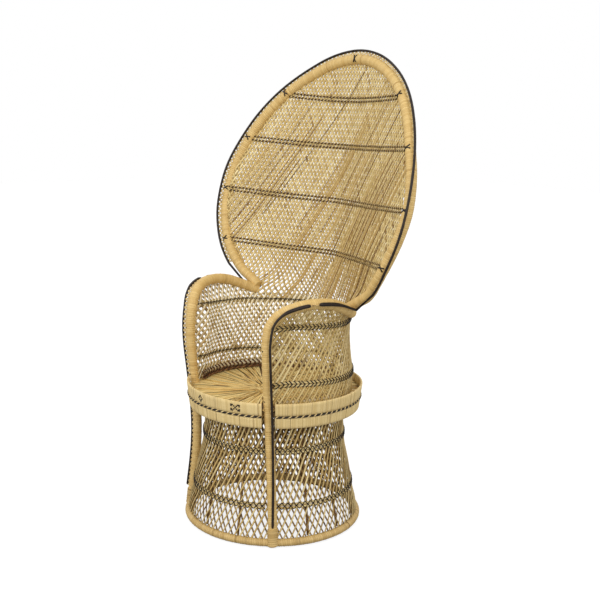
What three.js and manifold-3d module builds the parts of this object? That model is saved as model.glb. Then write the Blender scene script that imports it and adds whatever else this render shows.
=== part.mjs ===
// Peacock chair: a woven cane tub seat on an hourglass skirt, with a tall leaf-shaped fan back.
// Millimetres, +Z up, the sitter faces -Y.
// Angles are degrees round the seat's axis, from the back (+Y) towards +X.
import * as THREE from 'three';
import { mergeVertices } from 'three/addons/utils/BufferGeometryUtils.js';
import Module from 'manifold-3d';

const wasm = await Module();
wasm.setup();

// Fits
const CLEARANCE = 0.3; // between pieces that touch
const FACET_GAP = 0.8; // between pieces that touch and whose facets don't line up

// Round parts
const ROUND_STEPS = 36; // facets round the seat's axis
const FULL_TURN = 360;
const POLE_SIDES = 8;
const CANE_SIDES = 5;

// Openwork: size of the openings, as a share of the cells between the crossing canes
const OPENING = 0.58;

// Base ring and feet
const BASE_RADIUS = 275;
const BASE_POLE = 13;
const FOOT_WRAP_RADIUS = 17;
const FOOT_WRAP_HEIGHT = 55;
const FOOT_SPREAD = 5; // of a leg's foot outside the base ring's middle

// Skirt: radius of its outside at each height, from the base ring to the seat hoop
const SKIRT_PROFILE = [
  [60, 271], [90, 262.5], [122, 257], [190, 244], [250, 230.5], [286, 227.5], [330, 224.5], [365, 227],
];
const SKIRT_WALL = 4;
const SKIRT_BANDS = { lower: 122, upper: 286 };
const SKIRT_BAND_HEIGHT = 17;
const SKIRT_BAND_DEPTH = 4;
const STAKE_RADIUS = 4;
const STAKE_ANGLES = [180, 153, 105, 80, 55, 28, 0, -28, -55, -80, -105, -153];
const SKIRT_STEP = 50; // tallest row of the skirt's openwork

// Seat
const SEAT_TOP = 430;
const SEAT_THICKNESS = 8;
const HOOP_POLE = 12;
const RIM_POLE = 9.5;
const BEARER_POLE = 9;
const BEARER_OFFSET = 80; // of each cross bearer from the seat's axis
const EDGE_BRAID = 4.5;

// Flared bands round the seat
const BAND_WALL = 7;
const BAND_CORD = 2.5;
// Height and outside radius of their lower edge, the cord between them and their upper edge
const BAND_PROFILE = [[374, 274], [411, 278], [453, 284]];
const BAND_LEG_GAP = 1.5; // from a leg to the bands' ends

// Legs that run on into the arms: radius from the axis, angle, height
const LEG_AND_ARM = [
  [BASE_RADIUS + FOOT_SPREAD, 129, 0], [BASE_RADIUS, 129.2, 45],
  [265, 130, 125], [257, 131, 215], [255, 132, 300], [259, 133, 390], [267, 134, 480],
  [275, 134.6, 570], [275, 134.8, 640], [271, 133, 688], [268, 126.5, 722],
  [266, 115, 743], [264, 103, 748], [262, 90, 741], [260, 77, 720], [258, 65, 698],
];
const LEG_POLE = 14.5;
const ARM_POLE = 17;
const LEG_STEPS = 36;
const ARM_ROD_END = 110; // angle where the leg's rod stops on the arm
const BACK_ROD_END = 104; // angle where the back's rod starts on the arm
const ARM_ROD_NECK = 73; // angle where the back's rod leaves the arm
const ARM_LACING_END = 80; // angle where the arm's lacing stops, short of the neck

// Rods that edge the poles, each held off its pole by a laced strip
const ROD = 4;
const ROD_OFFSET = 29;
const ROD_STEPS = 84; // along the back's rod
// Rearward for each step outward, at each height of a leg
const ROD_LEAN = [[60, 0], [200, 0.33], [330, 0.48], [470, 0.55], [620, 0.47]];
const ROD_LIFT = 0.15; // upward for each step outward, on an arm
const LACING_WALL = 2.5;
const ROD_FOOT = 62; // height where the leg's rod starts

// Barrel wall between seat and arms: radius of its outside at each height
const BARREL_PROFILE = [[430, 250], [495, 249], [560, 241], [620, 237], [690, 241], [760, 256]];
const BARREL_WALL = 4;
const BARREL_TOP = 690;
const LOWER_BAND_RISE = 65; // of the lower band's middle above the seat
const UPPER_BAND_DROP = 22; // of the upper band's middle below the wall's top
const BARREL_BAND_HEIGHT = 15;
const BARREL_BAND_DEPTH = 3;
const BARREL_COLUMNS = 30;
const BARREL_STEP = 75; // tallest facet
const BARREL_FLARE = 60; // height over which the wall swings out under the arm
const BARREL_LAP = 14; // degrees over which the wall swings out to the leg

// Back: its rim's outline, half width and height, from the neck to the peak
const BACK_OUTLINE = [
  [226, 714], [271, 740], [314, 766], [371, 842], [410, 938], [420, 1012], [414, 1100], [387, 1187],
  [340, 1276], [274, 1353], [190, 1414], [97, 1456],
];
const BACK_PEAK = 1471;
// Plan shape of the back at each height: its middle, how deep it scoops, over what half span, how round
const BACK_MIDDLE = [[690, 239], [800, 236], [1030, 255], [1250, 290], [1500, 330]];
const BACK_SCOOP = [
  [690, 128], [717, 124], [780, 140], [859, 150], [1030, 138], [1205, 118], [1355, 93], [1500, 45],
];
const BACK_SPAN = [[690, 212], [717, 224], [766, 314], [842, 371], [1000, 420], [1500, 420]];
const BACK_ROUNDNESS = [[690, 2.4], [760, 1.8], [880, 1.4], [1500, 1.34]];
const BACK_WALL = 4;
const BACK_LAP = 5; // of the woven back into the rim, before it is trimmed
const BACK_NECK = 212; // half width of the woven back between the arms' ends
const BACK_BANDS = [859, 1030, 1205, 1355];
const BACK_BAND_HEIGHT = 18;
const BACK_BAND_DEPTH = 3;
const BACK_COLUMNS = 16;
const BACK_ROWS = 18;
const BACK_TIP = 12; // from the woven back's last full row to its tip
// How far the rim's pole swings round behind its rod, in degrees at each height
const RIM_SWING = [[800, 0], [860, 7], [945, 19], [1030, 31], [1120, 23], [1205, 5], [1280, 0]];
const RIM_STEPS = 52;
const RIM_ROD_START = 3; // stations above the neck

// Finishes
const NATURAL = { color: 0xcfa968, roughness: 0.6, metalness: 0 };
const PALE = { color: 0xd9c596, roughness: 0.7, metalness: 0 };
const DARK = { color: 0x1d1713, roughness: 0.55, metalness: 0 };
const BROWN = { color: 0x5a3d22, roughness: 0.65, metalness: 0 };

const chair = new THREE.Group();

function addPart(name, geometry, finish) {
  const mesh = new THREE.Mesh(geometry, new THREE.MeshStandardMaterial(finish));
  mesh.name = name;
  chair.add(mesh);
}

function polar(radius, angle, height) {
  const turn = THREE.MathUtils.degToRad(angle);
  return new THREE.Vector3(radius * Math.sin(turn), radius * Math.cos(turn), height);
}

function mirrored(point) {
  return new THREE.Vector3(-point.x, point.y, point.z);
}

// Smooth curve through [place, value] pairs, read at one place.
function readCurve(pairs, place) {
  const last = pairs.length - 1;
  const at = THREE.MathUtils.clamp(place, pairs[0][0], pairs[last][0]);
  let i = 0;
  while (i < last - 1 && at > pairs[i + 1][0]) i += 1;
  const slope = (k) => {
    const before = pairs[Math.max(k - 1, 0)];
    const after = pairs[Math.min(k + 1, last)];
    return (after[1] - before[1]) / (after[0] - before[0]);
  };
  const span = pairs[i + 1][0] - pairs[i][0];
  const t = (at - pairs[i][0]) / span;
  const rise = t * t * (3 - 2 * t);
  const bend = span * (slope(i) * t * (1 - t) * (1 - t) - slope(i + 1) * t * t * (1 - t));
  return pairs[i][1] + (pairs[i + 1][1] - pairs[i][1]) * rise + bend;
}

// Corners of a round section, turned so that a flat faces down.
function roundSection(radius, sides) {
  return Array.from({ length: sides }, (_, k) => {
    const turn = ((k + 0.5) / sides) * Math.PI * 2 - Math.PI / 2;
    return [radius * Math.cos(turn), radius * Math.sin(turn)];
  });
}

// Distance from a round section's middle to its flats.
function flatReach(radius, sides) {
  return radius * Math.cos(Math.PI / sides);
}

// Closed solid from points and triangles, with its faces turned outwards.
function closedGeometry(points, triangles) {
  let volume = 0;
  for (const [a, b, c] of triangles) {
    volume += points[a].dot(new THREE.Vector3().crossVectors(points[b], points[c]));
  }
  const outward = volume > 0 ? triangles : triangles.map(([a, b, c]) => [a, c, b]);
  const geometry = new THREE.BufferGeometry().setFromPoints(points);
  geometry.setIndex(outward.flat());
  geometry.computeVertexNormals();
  return geometry;
}

// Solid through a row of rings with equally many corners, capped at both ends.
function loft(rings) {
  const corners = rings[0].length;
  const triangles = [];
  for (let i = 0; i < rings.length - 1; i += 1) {
    for (let k = 0; k < corners; k += 1) {
      const a = i * corners + k;
      const b = i * corners + ((k + 1) % corners);
      triangles.push([a, b, b + corners], [a, b + corners, a + corners]);
    }
  }
  const end = (rings.length - 1) * corners;
  for (let k = 1; k < corners - 1; k += 1) {
    triangles.push([0, k + 1, k], [end, end + k, end + k + 1]);
  }
  return closedGeometry(rings.flat(), triangles);
}

// Thin wall between two grids of points with equally many rows and columns.
function wall(front, back) {
  const rows = front.length;
  const columns = front[0].length;
  const behind = rows * columns;
  const at = (row, column) => row * columns + column;
  const triangles = [];
  for (let i = 0; i < rows - 1; i += 1) {
    for (let j = 0; j < columns - 1; j += 1) {
      const [a, b, c, d] = [at(i, j), at(i, j + 1), at(i + 1, j + 1), at(i + 1, j)];
      triangles.push([a, b, c], [a, c, d]);
      triangles.push([a + behind, c + behind, b + behind], [a + behind, d + behind, c + behind]);
    }
  }
  const rim = [];
  for (let j = 0; j < columns; j += 1) rim.push(at(0, j));
  for (let i = 1; i < rows; i += 1) rim.push(at(i, columns - 1));
  for (let j = columns - 2; j >= 0; j -= 1) rim.push(at(rows - 1, j));
  for (let i = rows - 2; i > 0; i -= 1) rim.push(at(i, 0));
  rim.forEach((a, k) => {
    const b = rim[(k + 1) % rim.length];
    triangles.push([a, a + behind, b + behind], [a, b + behind, b]);
  });
  return closedGeometry([...front.flat(), ...back.flat()], triangles);
}

// Openwork wall between two grids of points. Canes cross at every other point, and each point between
// them is the middle of an opening, or of a closed cell. A ring's last column meets its first.
function openwork(front, back, isOpen, isRing) {
  const rows = front.length;
  const columns = front[0].length;
  const points = [];
  const triangles = [];
  const addFace = (...corners) => {
    const start = points.length;
    points.push(...corners);
    for (let k = 1; k < corners.length - 1; k += 1) triangles.push([start, start + k, start + k + 1]);
  };
  const onBothFaces = ([row, column]) => [front, back].map((face) => face[row][column % columns]);
  const addHalfCell = (middle, first, second) => {
    const [[m, mBack], [p, pBack], [q, qBack]] = [middle, first, second].map(onBothFaces);
    if (!isOpen(...middle)) {
      addFace(m, p, q);
      addFace(mBack, qBack, pBack);
      return;
    }
    const edgeOf = (centre, corner) => centre.clone().lerp(corner, OPENING);
    const [r, s, rBack, sBack] = [edgeOf(m, p), edgeOf(m, q), edgeOf(mBack, pBack), edgeOf(mBack, qBack)];
    addFace(p, q, s, r);
    addFace(qBack, pBack, rBack, sBack);
    addFace(r, s, sBack, rBack);
  };
  for (let i = 0; i < rows - 1; i += 1) {
    for (let j = 0; j < (isRing ? columns : columns - 1); j += 1) {
      const [a, b, c, d] = [[i, j], [i, j + 1], [i + 1, j + 1], [i + 1, j]];
      const halves = (i + j) % 2 === 0 ? [[b, c, a], [d, a, c]] : [[a, b, d], [c, d, b]];
      halves.forEach((half) => addHalfCell(...half));
    }
  }
  const addEdge = (from, to) => {
    const [[a, aBack], [b, bBack]] = [from, to].map(onBothFaces);
    addFace(b, a, aBack, bBack);
  };
  for (let j = 0; j < (isRing ? columns : columns - 1); j += 1) {
    addEdge([0, j], [0, j + 1]);
    addEdge([rows - 1, j + 1], [rows - 1, j]);
  }
  for (let i = 0; i < (isRing ? 0 : rows - 1); i += 1) {
    addEdge([i, columns - 1], [i + 1, columns - 1]);
    addEdge([i + 1, 0], [i, 0]);
  }
  return closedFrom(closedGeometry(points, triangles));
}

// Full ring from a closed profile of [radius, height] corners.
function ring(profile) {
  const corners = profile.map(([radius, height]) => new THREE.Vector2(radius, height));
  const geometry = new THREE.LatheGeometry([...corners, corners[0].clone()], ROUND_STEPS);
  geometry.rotateX(Math.PI / 2);
  return closedFrom(geometry);
}

// Part of a ring between two angles, with closed ends.
function arc(profile, from, to) {
  const steps = Math.max(2, Math.ceil((ROUND_STEPS * (to - from)) / FULL_TURN));
  const rings = [];
  for (let i = 0; i <= steps; i += 1) {
    const angle = from + ((to - from) * i) / steps;
    rings.push(profile.map(([radius, height]) => polar(radius, angle, height)));
  }
  return loft(rings);
}

function weld(geometry) {
  const bare = new THREE.BufferGeometry();
  bare.setAttribute('position', geometry.getAttribute('position').clone());
  if (geometry.index) bare.setIndex(geometry.index.clone());
  return mergeVertices(bare, 1e-3);
}

function closedFrom(geometry) {
  const welded = weld(geometry);
  const place = welded.getAttribute('position');
  const pointAt = (_, i) => new THREE.Vector3().fromBufferAttribute(place, i);
  const points = Array.from({ length: place.count }, pointAt);
  const corner = welded.index.array;
  const triangles = [];
  for (let i = 0; i < corner.length; i += 3) {
    const [a, b, c] = [corner[i], corner[i + 1], corner[i + 2]];
    if (a !== b && b !== c && c !== a) triangles.push([a, b, c]);
  }
  return closedGeometry(points, triangles);
}

function toSolid(geometry) {
  const welded = weld(geometry);
  const vertProperties = new Float32Array(welded.getAttribute('position').array);
  const triVerts = new Uint32Array(welded.index.array);
  return new wasm.Manifold(new wasm.Mesh({ numProp: 3, vertProperties, triVerts }));
}

// The piece with room taken out of it for each of its neighbours.
function cutAway(geometry, neighbours) {
  const left = neighbours.reduce((solid, other) => solid.subtract(toSolid(other)), toSolid(geometry));
  const mesh = left.getMesh();
  const result = new THREE.BufferGeometry();
  result.setAttribute('position', new THREE.BufferAttribute(mesh.vertProperties, 3));
  result.setIndex(new THREE.BufferAttribute(mesh.triVerts, 1));
  result.computeVertexNormals();
  return result;
}

// Stations along a pole: its middle, the way its rod lies and the way across both.
function station(centre, tangent, towardsRod) {
  const outward = towardsRod.clone().addScaledVector(tangent, -towardsRod.dot(tangent)).normalize();
  const across = new THREE.Vector3().crossVectors(tangent, outward).normalize();
  return { centre, tangent, outward, across };
}

function sectionAt(stop, corners) {
  return corners.map(([out, side]) =>
    stop.centre.clone().addScaledVector(stop.outward, out).addScaledVector(stop.across, side));
}

function pole(stops, radiusAt, extra = 0) {
  return loft(stops.map((stop) => sectionAt(stop, roundSection(radiusAt(stop) + extra, POLE_SIDES))));
}

// Strip of lacing that fills the gap between a pole and its rod.
function lacing(stops, radiusAt) {
  const half = LACING_WALL / 2;
  const outer = ROD_OFFSET - ROD - FACET_GAP;
  return loft(stops.map((stop) => {
    const inner = radiusAt(stop) + CLEARANCE;
    return sectionAt(stop, [[inner, -half], [outer, -half], [outer, half], [inner, half]]);
  }));
}

function rodAlong(points, steps) {
  const path = new THREE.CatmullRomCurve3(points);
  const section = new THREE.Shape(roundSection(ROD, CANE_SIDES).map(([x, y]) => new THREE.Vector2(x, y)));
  return closedFrom(new THREE.ExtrudeGeometry(section, { steps, extrudePath: path, bevelEnabled: false }));
}

// Legs and arms, right side first; the left side is its mirror image.
const legCurve = new THREE.CatmullRomCurve3(LEG_AND_ARM.map((row) => polar(...row)));

function angleOf(point) {
  return THREE.MathUtils.radToDeg(Math.atan2(point.x, point.y));
}

// A leg's rod lies outwards and a little to the rear; on the arm it lies outwards.
function legStation(share) {
  const centre = legCurve.getPointAt(share);
  const tangent = share === 0 ? new THREE.Vector3(0, 0, 1) : legCurve.getTangentAt(share);
  const angle = angleOf(centre);
  const upright = Math.max(0, tangent.z) ** 2;
  const lean = readCurve(ROD_LEAN, centre.z) * upright;
  const towardsRod = polar(1, angle, 0).addScaledVector(polar(1, angle - 90, 0), lean);
  towardsRod.z += ROD_LIFT * (1 - upright);
  return station(centre, tangent, towardsRod);
}

function legRadius(stop) {
  const swell = THREE.MathUtils.smoothstep(stop.centre.z, SEAT_TOP, BARREL_TOP);
  return THREE.MathUtils.lerp(LEG_POLE, ARM_POLE, swell);
}

const legStops = Array.from({ length: LEG_STEPS + 1 }, (_, i) => legStation(i / LEG_STEPS));

// Where the leg stands at a height: its middle's radius and angle, and its own radius.
function legAt(height) {
  const next = legStops.findIndex((stop) => stop.centre.z > height);
  const [low, high] = [legStops[next - 1], legStops[next]];
  const share = (height - low.centre.z) / (high.centre.z - low.centre.z);
  const centre = low.centre.clone().lerp(high.centre, share);
  return { radius: Math.hypot(centre.x, centre.y), angle: angleOf(centre), pole: legRadius({ centre }) };
}

function degreesFor(length, radius) {
  return THREE.MathUtils.radToDeg(length / radius);
}

// Back surface: a point at half width x and height z, and the way it faces.
function backPoint(x, z) {
  const roundness = readCurve(BACK_ROUNDNESS, z);
  const share = Math.abs(x) / readCurve(BACK_SPAN, z);
  const depth = readCurve(BACK_SCOOP, z) * share ** roundness;
  return new THREE.Vector3(x, readCurve(BACK_MIDDLE, z) - depth, z);
}

function backFacing(x, z) {
  const alongX = backPoint(x + 1, z).sub(backPoint(x - 1, z));
  const alongZ = backPoint(x, z + 1).sub(backPoint(x, z - 1));
  return new THREE.Vector3().crossVectors(alongX, alongZ).normalize();
}

const rimOutline = [
  ...BACK_OUTLINE,
  [0, BACK_PEAK],
  ...[...BACK_OUTLINE].reverse().map(([x, z]) => [-x, z]),
];
const rimCurve = new THREE.CatmullRomCurve3(rimOutline.map(([x, z]) => backPoint(x, z)));

// The pole swings about its rod, which stays in the woven back's surface.
function rimStation(share) {
  const middle = rimCurve.getPointAt(share);
  const tangent = rimCurve.getTangentAt(share);
  const facing = backFacing(middle.x, middle.z);
  const level = station(middle, tangent, new THREE.Vector3().crossVectors(tangent, facing)).outward;
  const swing = THREE.MathUtils.degToRad(readCurve(RIM_SWING, middle.z));
  const outward = level.clone().multiplyScalar(Math.cos(swing)).addScaledVector(facing, Math.sin(swing));
  const centre = middle.clone().addScaledVector(level, ROD_OFFSET).addScaledVector(outward, -ROD_OFFSET);
  const behind = ROD_OFFSET * Math.sin(swing);
  const inside = ROD_OFFSET * (1 - Math.cos(swing)) - Math.sqrt(ARM_POLE ** 2 - behind ** 2);
  const edge = middle.addScaledVector(level, inside + BACK_LAP);
  return { ...station(centre, tangent, outward), edge };
}

const rimStops = Array.from({ length: RIM_STEPS + 1 }, (_, i) => rimStation(i / RIM_STEPS));

function rodPoint(stop) {
  return stop.centre.clone().addScaledVector(stop.outward, ROD_OFFSET);
}

// Half width of the woven back at a height, a little way into the rim, which then trims it.
const backEdge = rimStops.slice(0, RIM_STEPS / 2 + 1).map((stop) => [stop.edge.z, stop.edge.x]);

function backHalfWidth(z) {
  if (z <= backEdge[0][0]) return BACK_NECK;
  const next = backEdge.findIndex(([height]) => height > z);
  const [low, high] = [backEdge[next - 1], backEdge[next]];
  return THREE.MathUtils.mapLinear(z, low[0], high[0], low[1], high[1]);
}

// Heights from the first break to the last, with no step taller than the limit.
function levels(breaks, tallest) {
  const heights = [breaks[0]];
  for (let i = 1; i < breaks.length; i += 1) {
    const rise = breaks[i] - breaks[i - 1];
    const steps = Math.ceil(rise / tallest);
    for (let k = 1; k <= steps; k += 1) heights.push(breaks[i - 1] + (rise * k) / steps);
  }
  return heights;
}

// Least radius of a faceted ring, at the middle of its facets.
function facetReach(radius) {
  return radius * Math.cos(Math.PI / ROUND_STEPS);
}

function roundProfile(radius, height, pole, sides) {
  return roundSection(pole, sides).map(([x, z]) => [radius + x, height + z]);
}

// Profile of a wall that follows an outside radius over some heights.
function wallProfile(heights, outsideAt, thickness) {
  const outside = heights.map((height) => [outsideAt(height), height]);
  const inside = heights.map((height) => [outsideAt(height) - thickness, height]).reverse();
  return [...outside, ...inside];
}

// Shares of the leg's length at a height, and at an angle on the arm.
function shareWhere(isBefore) {
  let [low, high] = [0, 1];
  for (let i = 0; i < 30; i += 1) {
    const middle = (low + high) / 2;
    if (isBefore(legCurve.getPointAt(middle))) low = middle;
    else high = middle;
  }
  return low;
}

const shareAtHeight = (height) => shareWhere((point) => point.z < height && angleOf(point) > ARM_ROD_END);
const shareAtAngle = (angle) => shareWhere((point) => angleOf(point) > angle || point.z < BARREL_TOP);

function stopsBetween(from, to) {
  const within = legStops.filter((_, i) => i / LEG_STEPS > from && i / LEG_STEPS < to);
  return [legStation(from), ...within, legStation(to)];
}

const legGrown = pole(legStops, legRadius, CLEARANCE);
const footTop = legStation(shareAtHeight(FOOT_WRAP_HEIGHT));
const footStops = [...legStops.filter((stop) => stop.centre.z < FOOT_WRAP_HEIGHT), footTop];
const footRadius = () => FOOT_WRAP_RADIUS;
const footGrown = pole(footStops, footRadius, CLEARANCE);
const rimRadius = () => ARM_POLE;
const rimGrown = pole(rimStops, rimRadius, CLEARANCE);

function mirroredGeometry(geometry) {
  return closedFrom(geometry.clone().scale(-1, 1, 1));
}

const bothLegs = [legGrown, mirroredGeometry(legGrown)];
const bothFeet = [footGrown, mirroredGeometry(footGrown)];

// Angles of a leg's front and rear sides over some heights, with room beside them.
function legSides(low, high, room) {
  const front = [];
  const rear = [];
  for (const height of levels([low, high], 10)) {
    const leg = legAt(height);
    const half = degreesFor(leg.pole + room, leg.radius);
    front.push(leg.angle + half);
    rear.push(leg.angle - half);
  }
  return { front: Math.max(...front), rear: Math.min(...rear) };
}

// One piece between the legs at the front and one round the rear.
function addSections(name, profile, low, high, room, finish) {
  const { front, rear } = legSides(low, high, room);
  addPart(`${name}_front`, arc(profile, front, FULL_TURN - front), finish);
  addPart(`${name}_rear`, arc(profile, -rear, rear), finish);
}

// Heights that follow from the seat
const seatBottom = SEAT_TOP - SEAT_THICKNESS;
const hoopHeight = seatBottom - CLEARANCE - flatReach(HOOP_POLE, POLE_SIDES);
const hoopBottom = hoopHeight - flatReach(HOOP_POLE, POLE_SIDES);
const hoopLeg = legAt(hoopHeight);
const hoopRadius = hoopLeg.radius - hoopLeg.pole - CLEARANCE - HOOP_POLE;
const baseTop = 2 * flatReach(BASE_POLE, POLE_SIDES);
const bandOutside = (height) => readCurve(BAND_PROFILE, height);

function buildBase() {
  const profile = roundProfile(BASE_RADIUS, flatReach(BASE_POLE, POLE_SIDES), BASE_POLE, POLE_SIDES);
  const room = FOOT_WRAP_RADIUS - LEG_POLE + CLEARANCE + BAND_LEG_GAP;
  addSections('base_ring', profile, 0, baseTop, room, NATURAL);
  const wrap = cutAway(pole(footStops, footRadius), [legGrown]);
  addPart('right_foot_wrap', wrap, NATURAL);
  addPart('left_foot_wrap', mirroredGeometry(wrap), NATURAL);
}

const skirtBottom = baseTop + CLEARANCE;
const skirtTop = hoopBottom - CLEARANCE;
const skirtCurve = [
  [skirtBottom, BASE_RADIUS + SKIRT_WALL / 2],
  ...SKIRT_PROFILE,
  [skirtTop, hoopRadius + SKIRT_WALL / 2],
];
const skirtOutside = (height) => readCurve(skirtCurve, height);

function buildSkirt() {
  const half = SKIRT_BAND_HEIGHT / 2;
  const breaks = Object.values(SKIRT_BANDS).flatMap((height) => [height - half, height + half]);
  const solidRows = [skirtBottom, ...breaks, skirtTop];
  const heights = levels(solidRows, SKIRT_STEP);
  const turns = Array.from({ length: ROUND_STEPS }, (_, k) => (k * FULL_TURN) / ROUND_STEPS);
  const face = (inset) => heights.map((height) =>
    turns.map((turn) => polar(skirtOutside(height) - inset, turn, height)));
  const isOpen = (row) => !solidRows.includes(heights[row]);
  const panel = openwork(face(0), face(SKIRT_WALL), isOpen, true);
  addPart('skirt_panel', cutAway(panel, [...bothLegs, ...bothFeet]), PALE);
  // The upper band's facets line up with the wall's; those of the lower band, between the legs, don't.
  const bandProfile = (height, grow) => wallProfile(
    [height - half, height + half],
    (place) => (skirtOutside(place) + CLEARANCE) * grow + SKIRT_BAND_DEPTH,
    SKIRT_BAND_DEPTH,
  );
  addPart('skirt_band_upper', ring(bandProfile(SKIRT_BANDS.upper, 1)), DARK);
  const { lower } = SKIRT_BANDS;
  const room = CLEARANCE + BAND_LEG_GAP;
  const profile = bandProfile(lower, 1 / facetReach(1));
  addSections('skirt_band_lower', profile, lower - half, lower + half, room, DARK);
  STAKE_ANGLES.forEach((angle, i) => {
    const rings = heights.map((height) => {
      const radius = facetReach(skirtOutside(height) - SKIRT_WALL) - CLEARANCE - STAKE_RADIUS;
      const corners = roundSection(STAKE_RADIUS, CANE_SIDES);
      const place = ([side, out]) => polar(radius + out, angle, height).add(polar(side, angle + 90, 0));
      return corners.map(place);
    });
    addPart(`skirt_stake_${String(i + 1).padStart(2, '0')}`, loft(rings), BROWN);
  });
}

const [[bandsBottom], [bandsMiddle], [bandsTop]] = BAND_PROFILE;

// The flared bands, their cord and their pole end at the same angles, so their facets line up.
function addSeatSections(name, profile, finish) {
  addSections(name, profile, bandsBottom, bandsTop, CLEARANCE + BAND_LEG_GAP, finish);
}

function buildSeat() {
  addPart('seat_hoop', ring(roundProfile(hoopRadius, hoopHeight, HOOP_POLE, POLE_SIDES)), NATURAL);

  const rimHeight = seatBottom - CLEARANCE - flatReach(RIM_POLE, POLE_SIDES);
  const bandInside = bandOutside(rimHeight) - BAND_WALL;
  const rimRing = bandInside - CLEARANCE - flatReach(RIM_POLE, POLE_SIDES);
  const rim = roundProfile(rimRing, rimHeight, RIM_POLE, POLE_SIDES);
  addSeatSections('seat_rim_pole', rim, NATURAL);

  const reach = facetReach(hoopRadius) - HOOP_POLE;
  const halfLength = Math.sqrt(reach ** 2 - (BEARER_OFFSET + BEARER_POLE) ** 2) - CLEARANCE;
  for (const [name, side] of [['front', -1], ['rear', 1]]) {
    const bearer = new THREE.CylinderGeometry(BEARER_POLE, BEARER_POLE, 2 * halfLength, POLE_SIDES);
    bearer.rotateZ(Math.PI / 2);
    bearer.translate(0, side * BEARER_OFFSET, seatBottom - CLEARANCE - BEARER_POLE);
    addPart(`seat_bearer_${name}`, closedFrom(bearer), NATURAL);
  }

  const seatRadius = facetReach(bandOutside(seatBottom) - BAND_WALL) - CLEARANCE;
  const outline = [[0, SEAT_TOP], [seatRadius, SEAT_TOP], [seatRadius, seatBottom], [0, seatBottom]];
  const disc = new THREE.LatheGeometry(outline.map((corner) => new THREE.Vector2(...corner)), ROUND_STEPS);
  disc.rotateX(Math.PI / 2);
  addPart('seat_panel', cutAway(closedFrom(disc), bothLegs), PALE);

  const braidHeight = SEAT_TOP + CLEARANCE + flatReach(EDGE_BRAID, CANE_SIDES);
  const wallInside = readCurve(BARREL_PROFILE, SEAT_TOP) - BARREL_WALL;
  const braidRadius = facetReach(wallInside - FACET_GAP) - EDGE_BRAID;
  const braidEnd = frontAngle(SEAT_TOP) - BARREL_LAP / 2;
  const braid = roundProfile(braidRadius, braidHeight, EDGE_BRAID, CANE_SIDES);
  addPart('seat_edge_braid', arc(braid, -braidEnd, braidEnd), BROWN);
}

function buildSeatBands() {
  const gap = BAND_CORD + CLEARANCE;
  const upper = wallProfile([bandsMiddle + gap, bandsTop], bandOutside, BAND_WALL);
  addSeatSections('seat_band_upper', upper, PALE);
  const lower = wallProfile([bandsBottom, bandsMiddle - gap], bandOutside, BAND_WALL);
  addSeatSections('seat_band_lower', lower, PALE);
  const cord = roundProfile(bandOutside(bandsMiddle), bandsMiddle, BAND_CORD, CANE_SIDES);
  addSeatSections('seat_band_cord', cord, DARK);
}

function addBothSides(name, geometry, finish) {
  addPart(`right_${name}`, geometry, finish);
  addPart(`left_${name}`, mirroredGeometry(geometry), finish);
}

const rodFootShare = shareAtHeight(ROD_FOOT);

function buildLegs() {
  addBothSides('leg_and_arm', cutAway(pole(legStops, legRadius), [rimGrown]), NATURAL);
  const rodStops = stopsBetween(rodFootShare, shareAtAngle(ARM_ROD_END));
  addBothSides('leg_rod', rodAlong(rodStops.map(rodPoint), rodStops.length), DARK);
  const lacingStops = stopsBetween(rodFootShare, shareAtAngle(ARM_LACING_END));
  addBothSides('leg_lacing', lacing(lacingStops, legRadius), PALE);
}

// Edge of the barrel wall along the leg and under the arm.
const barrelEdge = legStops
  .filter((stop) => stop.centre.z > seatBottom)
  .map((stop) => {
    const radial = polar(1, angleOf(stop.centre), 0);
    const inward = new THREE.Vector3().crossVectors(stop.tangent, radial).normalize();
    const point = stop.centre.clone().addScaledVector(inward, legRadius(stop) + FACET_GAP);
    return { angle: angleOf(point), height: point.z, radius: Math.hypot(point.x, point.y) };
  });
const frontmost = Math.max(...barrelEdge.map((edge) => edge.angle));
const corner = barrelEdge.findIndex((edge) => edge.angle === frontmost);
const legEdge = barrelEdge.slice(0, corner + 1);
const armEdge = barrelEdge.slice(corner).reverse();
const neckAngle = armEdge[0].angle;

function readEdge(edge, key, place, value) {
  const pairs = edge.map((point) => [point[key], point[value]]);
  const next = pairs.findIndex(([at]) => at > place);
  if (next === 0) return pairs[0][1];
  if (next < 0) return pairs[pairs.length - 1][1];
  const [low, high] = [pairs[next - 1], pairs[next]];
  return THREE.MathUtils.mapLinear(place, low[0], high[0], low[1], high[1]);
}

function frontAngle(height) {
  return readEdge(legEdge, 'height', height, 'angle');
}

function barrelHeight(angle) {
  return Math.abs(angle) < neckAngle ? BARREL_TOP : readEdge(armEdge, 'angle', Math.abs(angle), 'height');
}

// Outside radius of the barrel wall: waisted, and swung out to meet the leg and the arm.
function barrelOutside(angle, height) {
  const side = Math.abs(angle);
  const front = frontAngle(height);
  const top = barrelHeight(angle);
  const half = BARREL_WALL / 2;
  const toLeg = THREE.MathUtils.smoothstep(side, front - BARREL_LAP, front);
  const toArm = THREE.MathUtils.smoothstep(height, top - BARREL_FLARE, top) *
    THREE.MathUtils.smoothstep(side, neckAngle - BARREL_LAP, neckAngle + 2 * BARREL_LAP);
  const plain = readCurve(BARREL_PROFILE, height);
  const atLeg = readEdge(legEdge, 'height', height, 'radius') + half;
  const atArm = readEdge(armEdge, 'angle', side, 'radius') + half;
  return THREE.MathUtils.lerp(THREE.MathUtils.lerp(plain, atLeg, toLeg), atArm, toArm);
}

const barrelShares = Array.from({ length: BARREL_COLUMNS + 1 }, (_, k) => {
  const even = (2 * k) / BARREL_COLUMNS - 1;
  return (even + Math.sin((even * Math.PI) / 2)) / 2;
});

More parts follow.
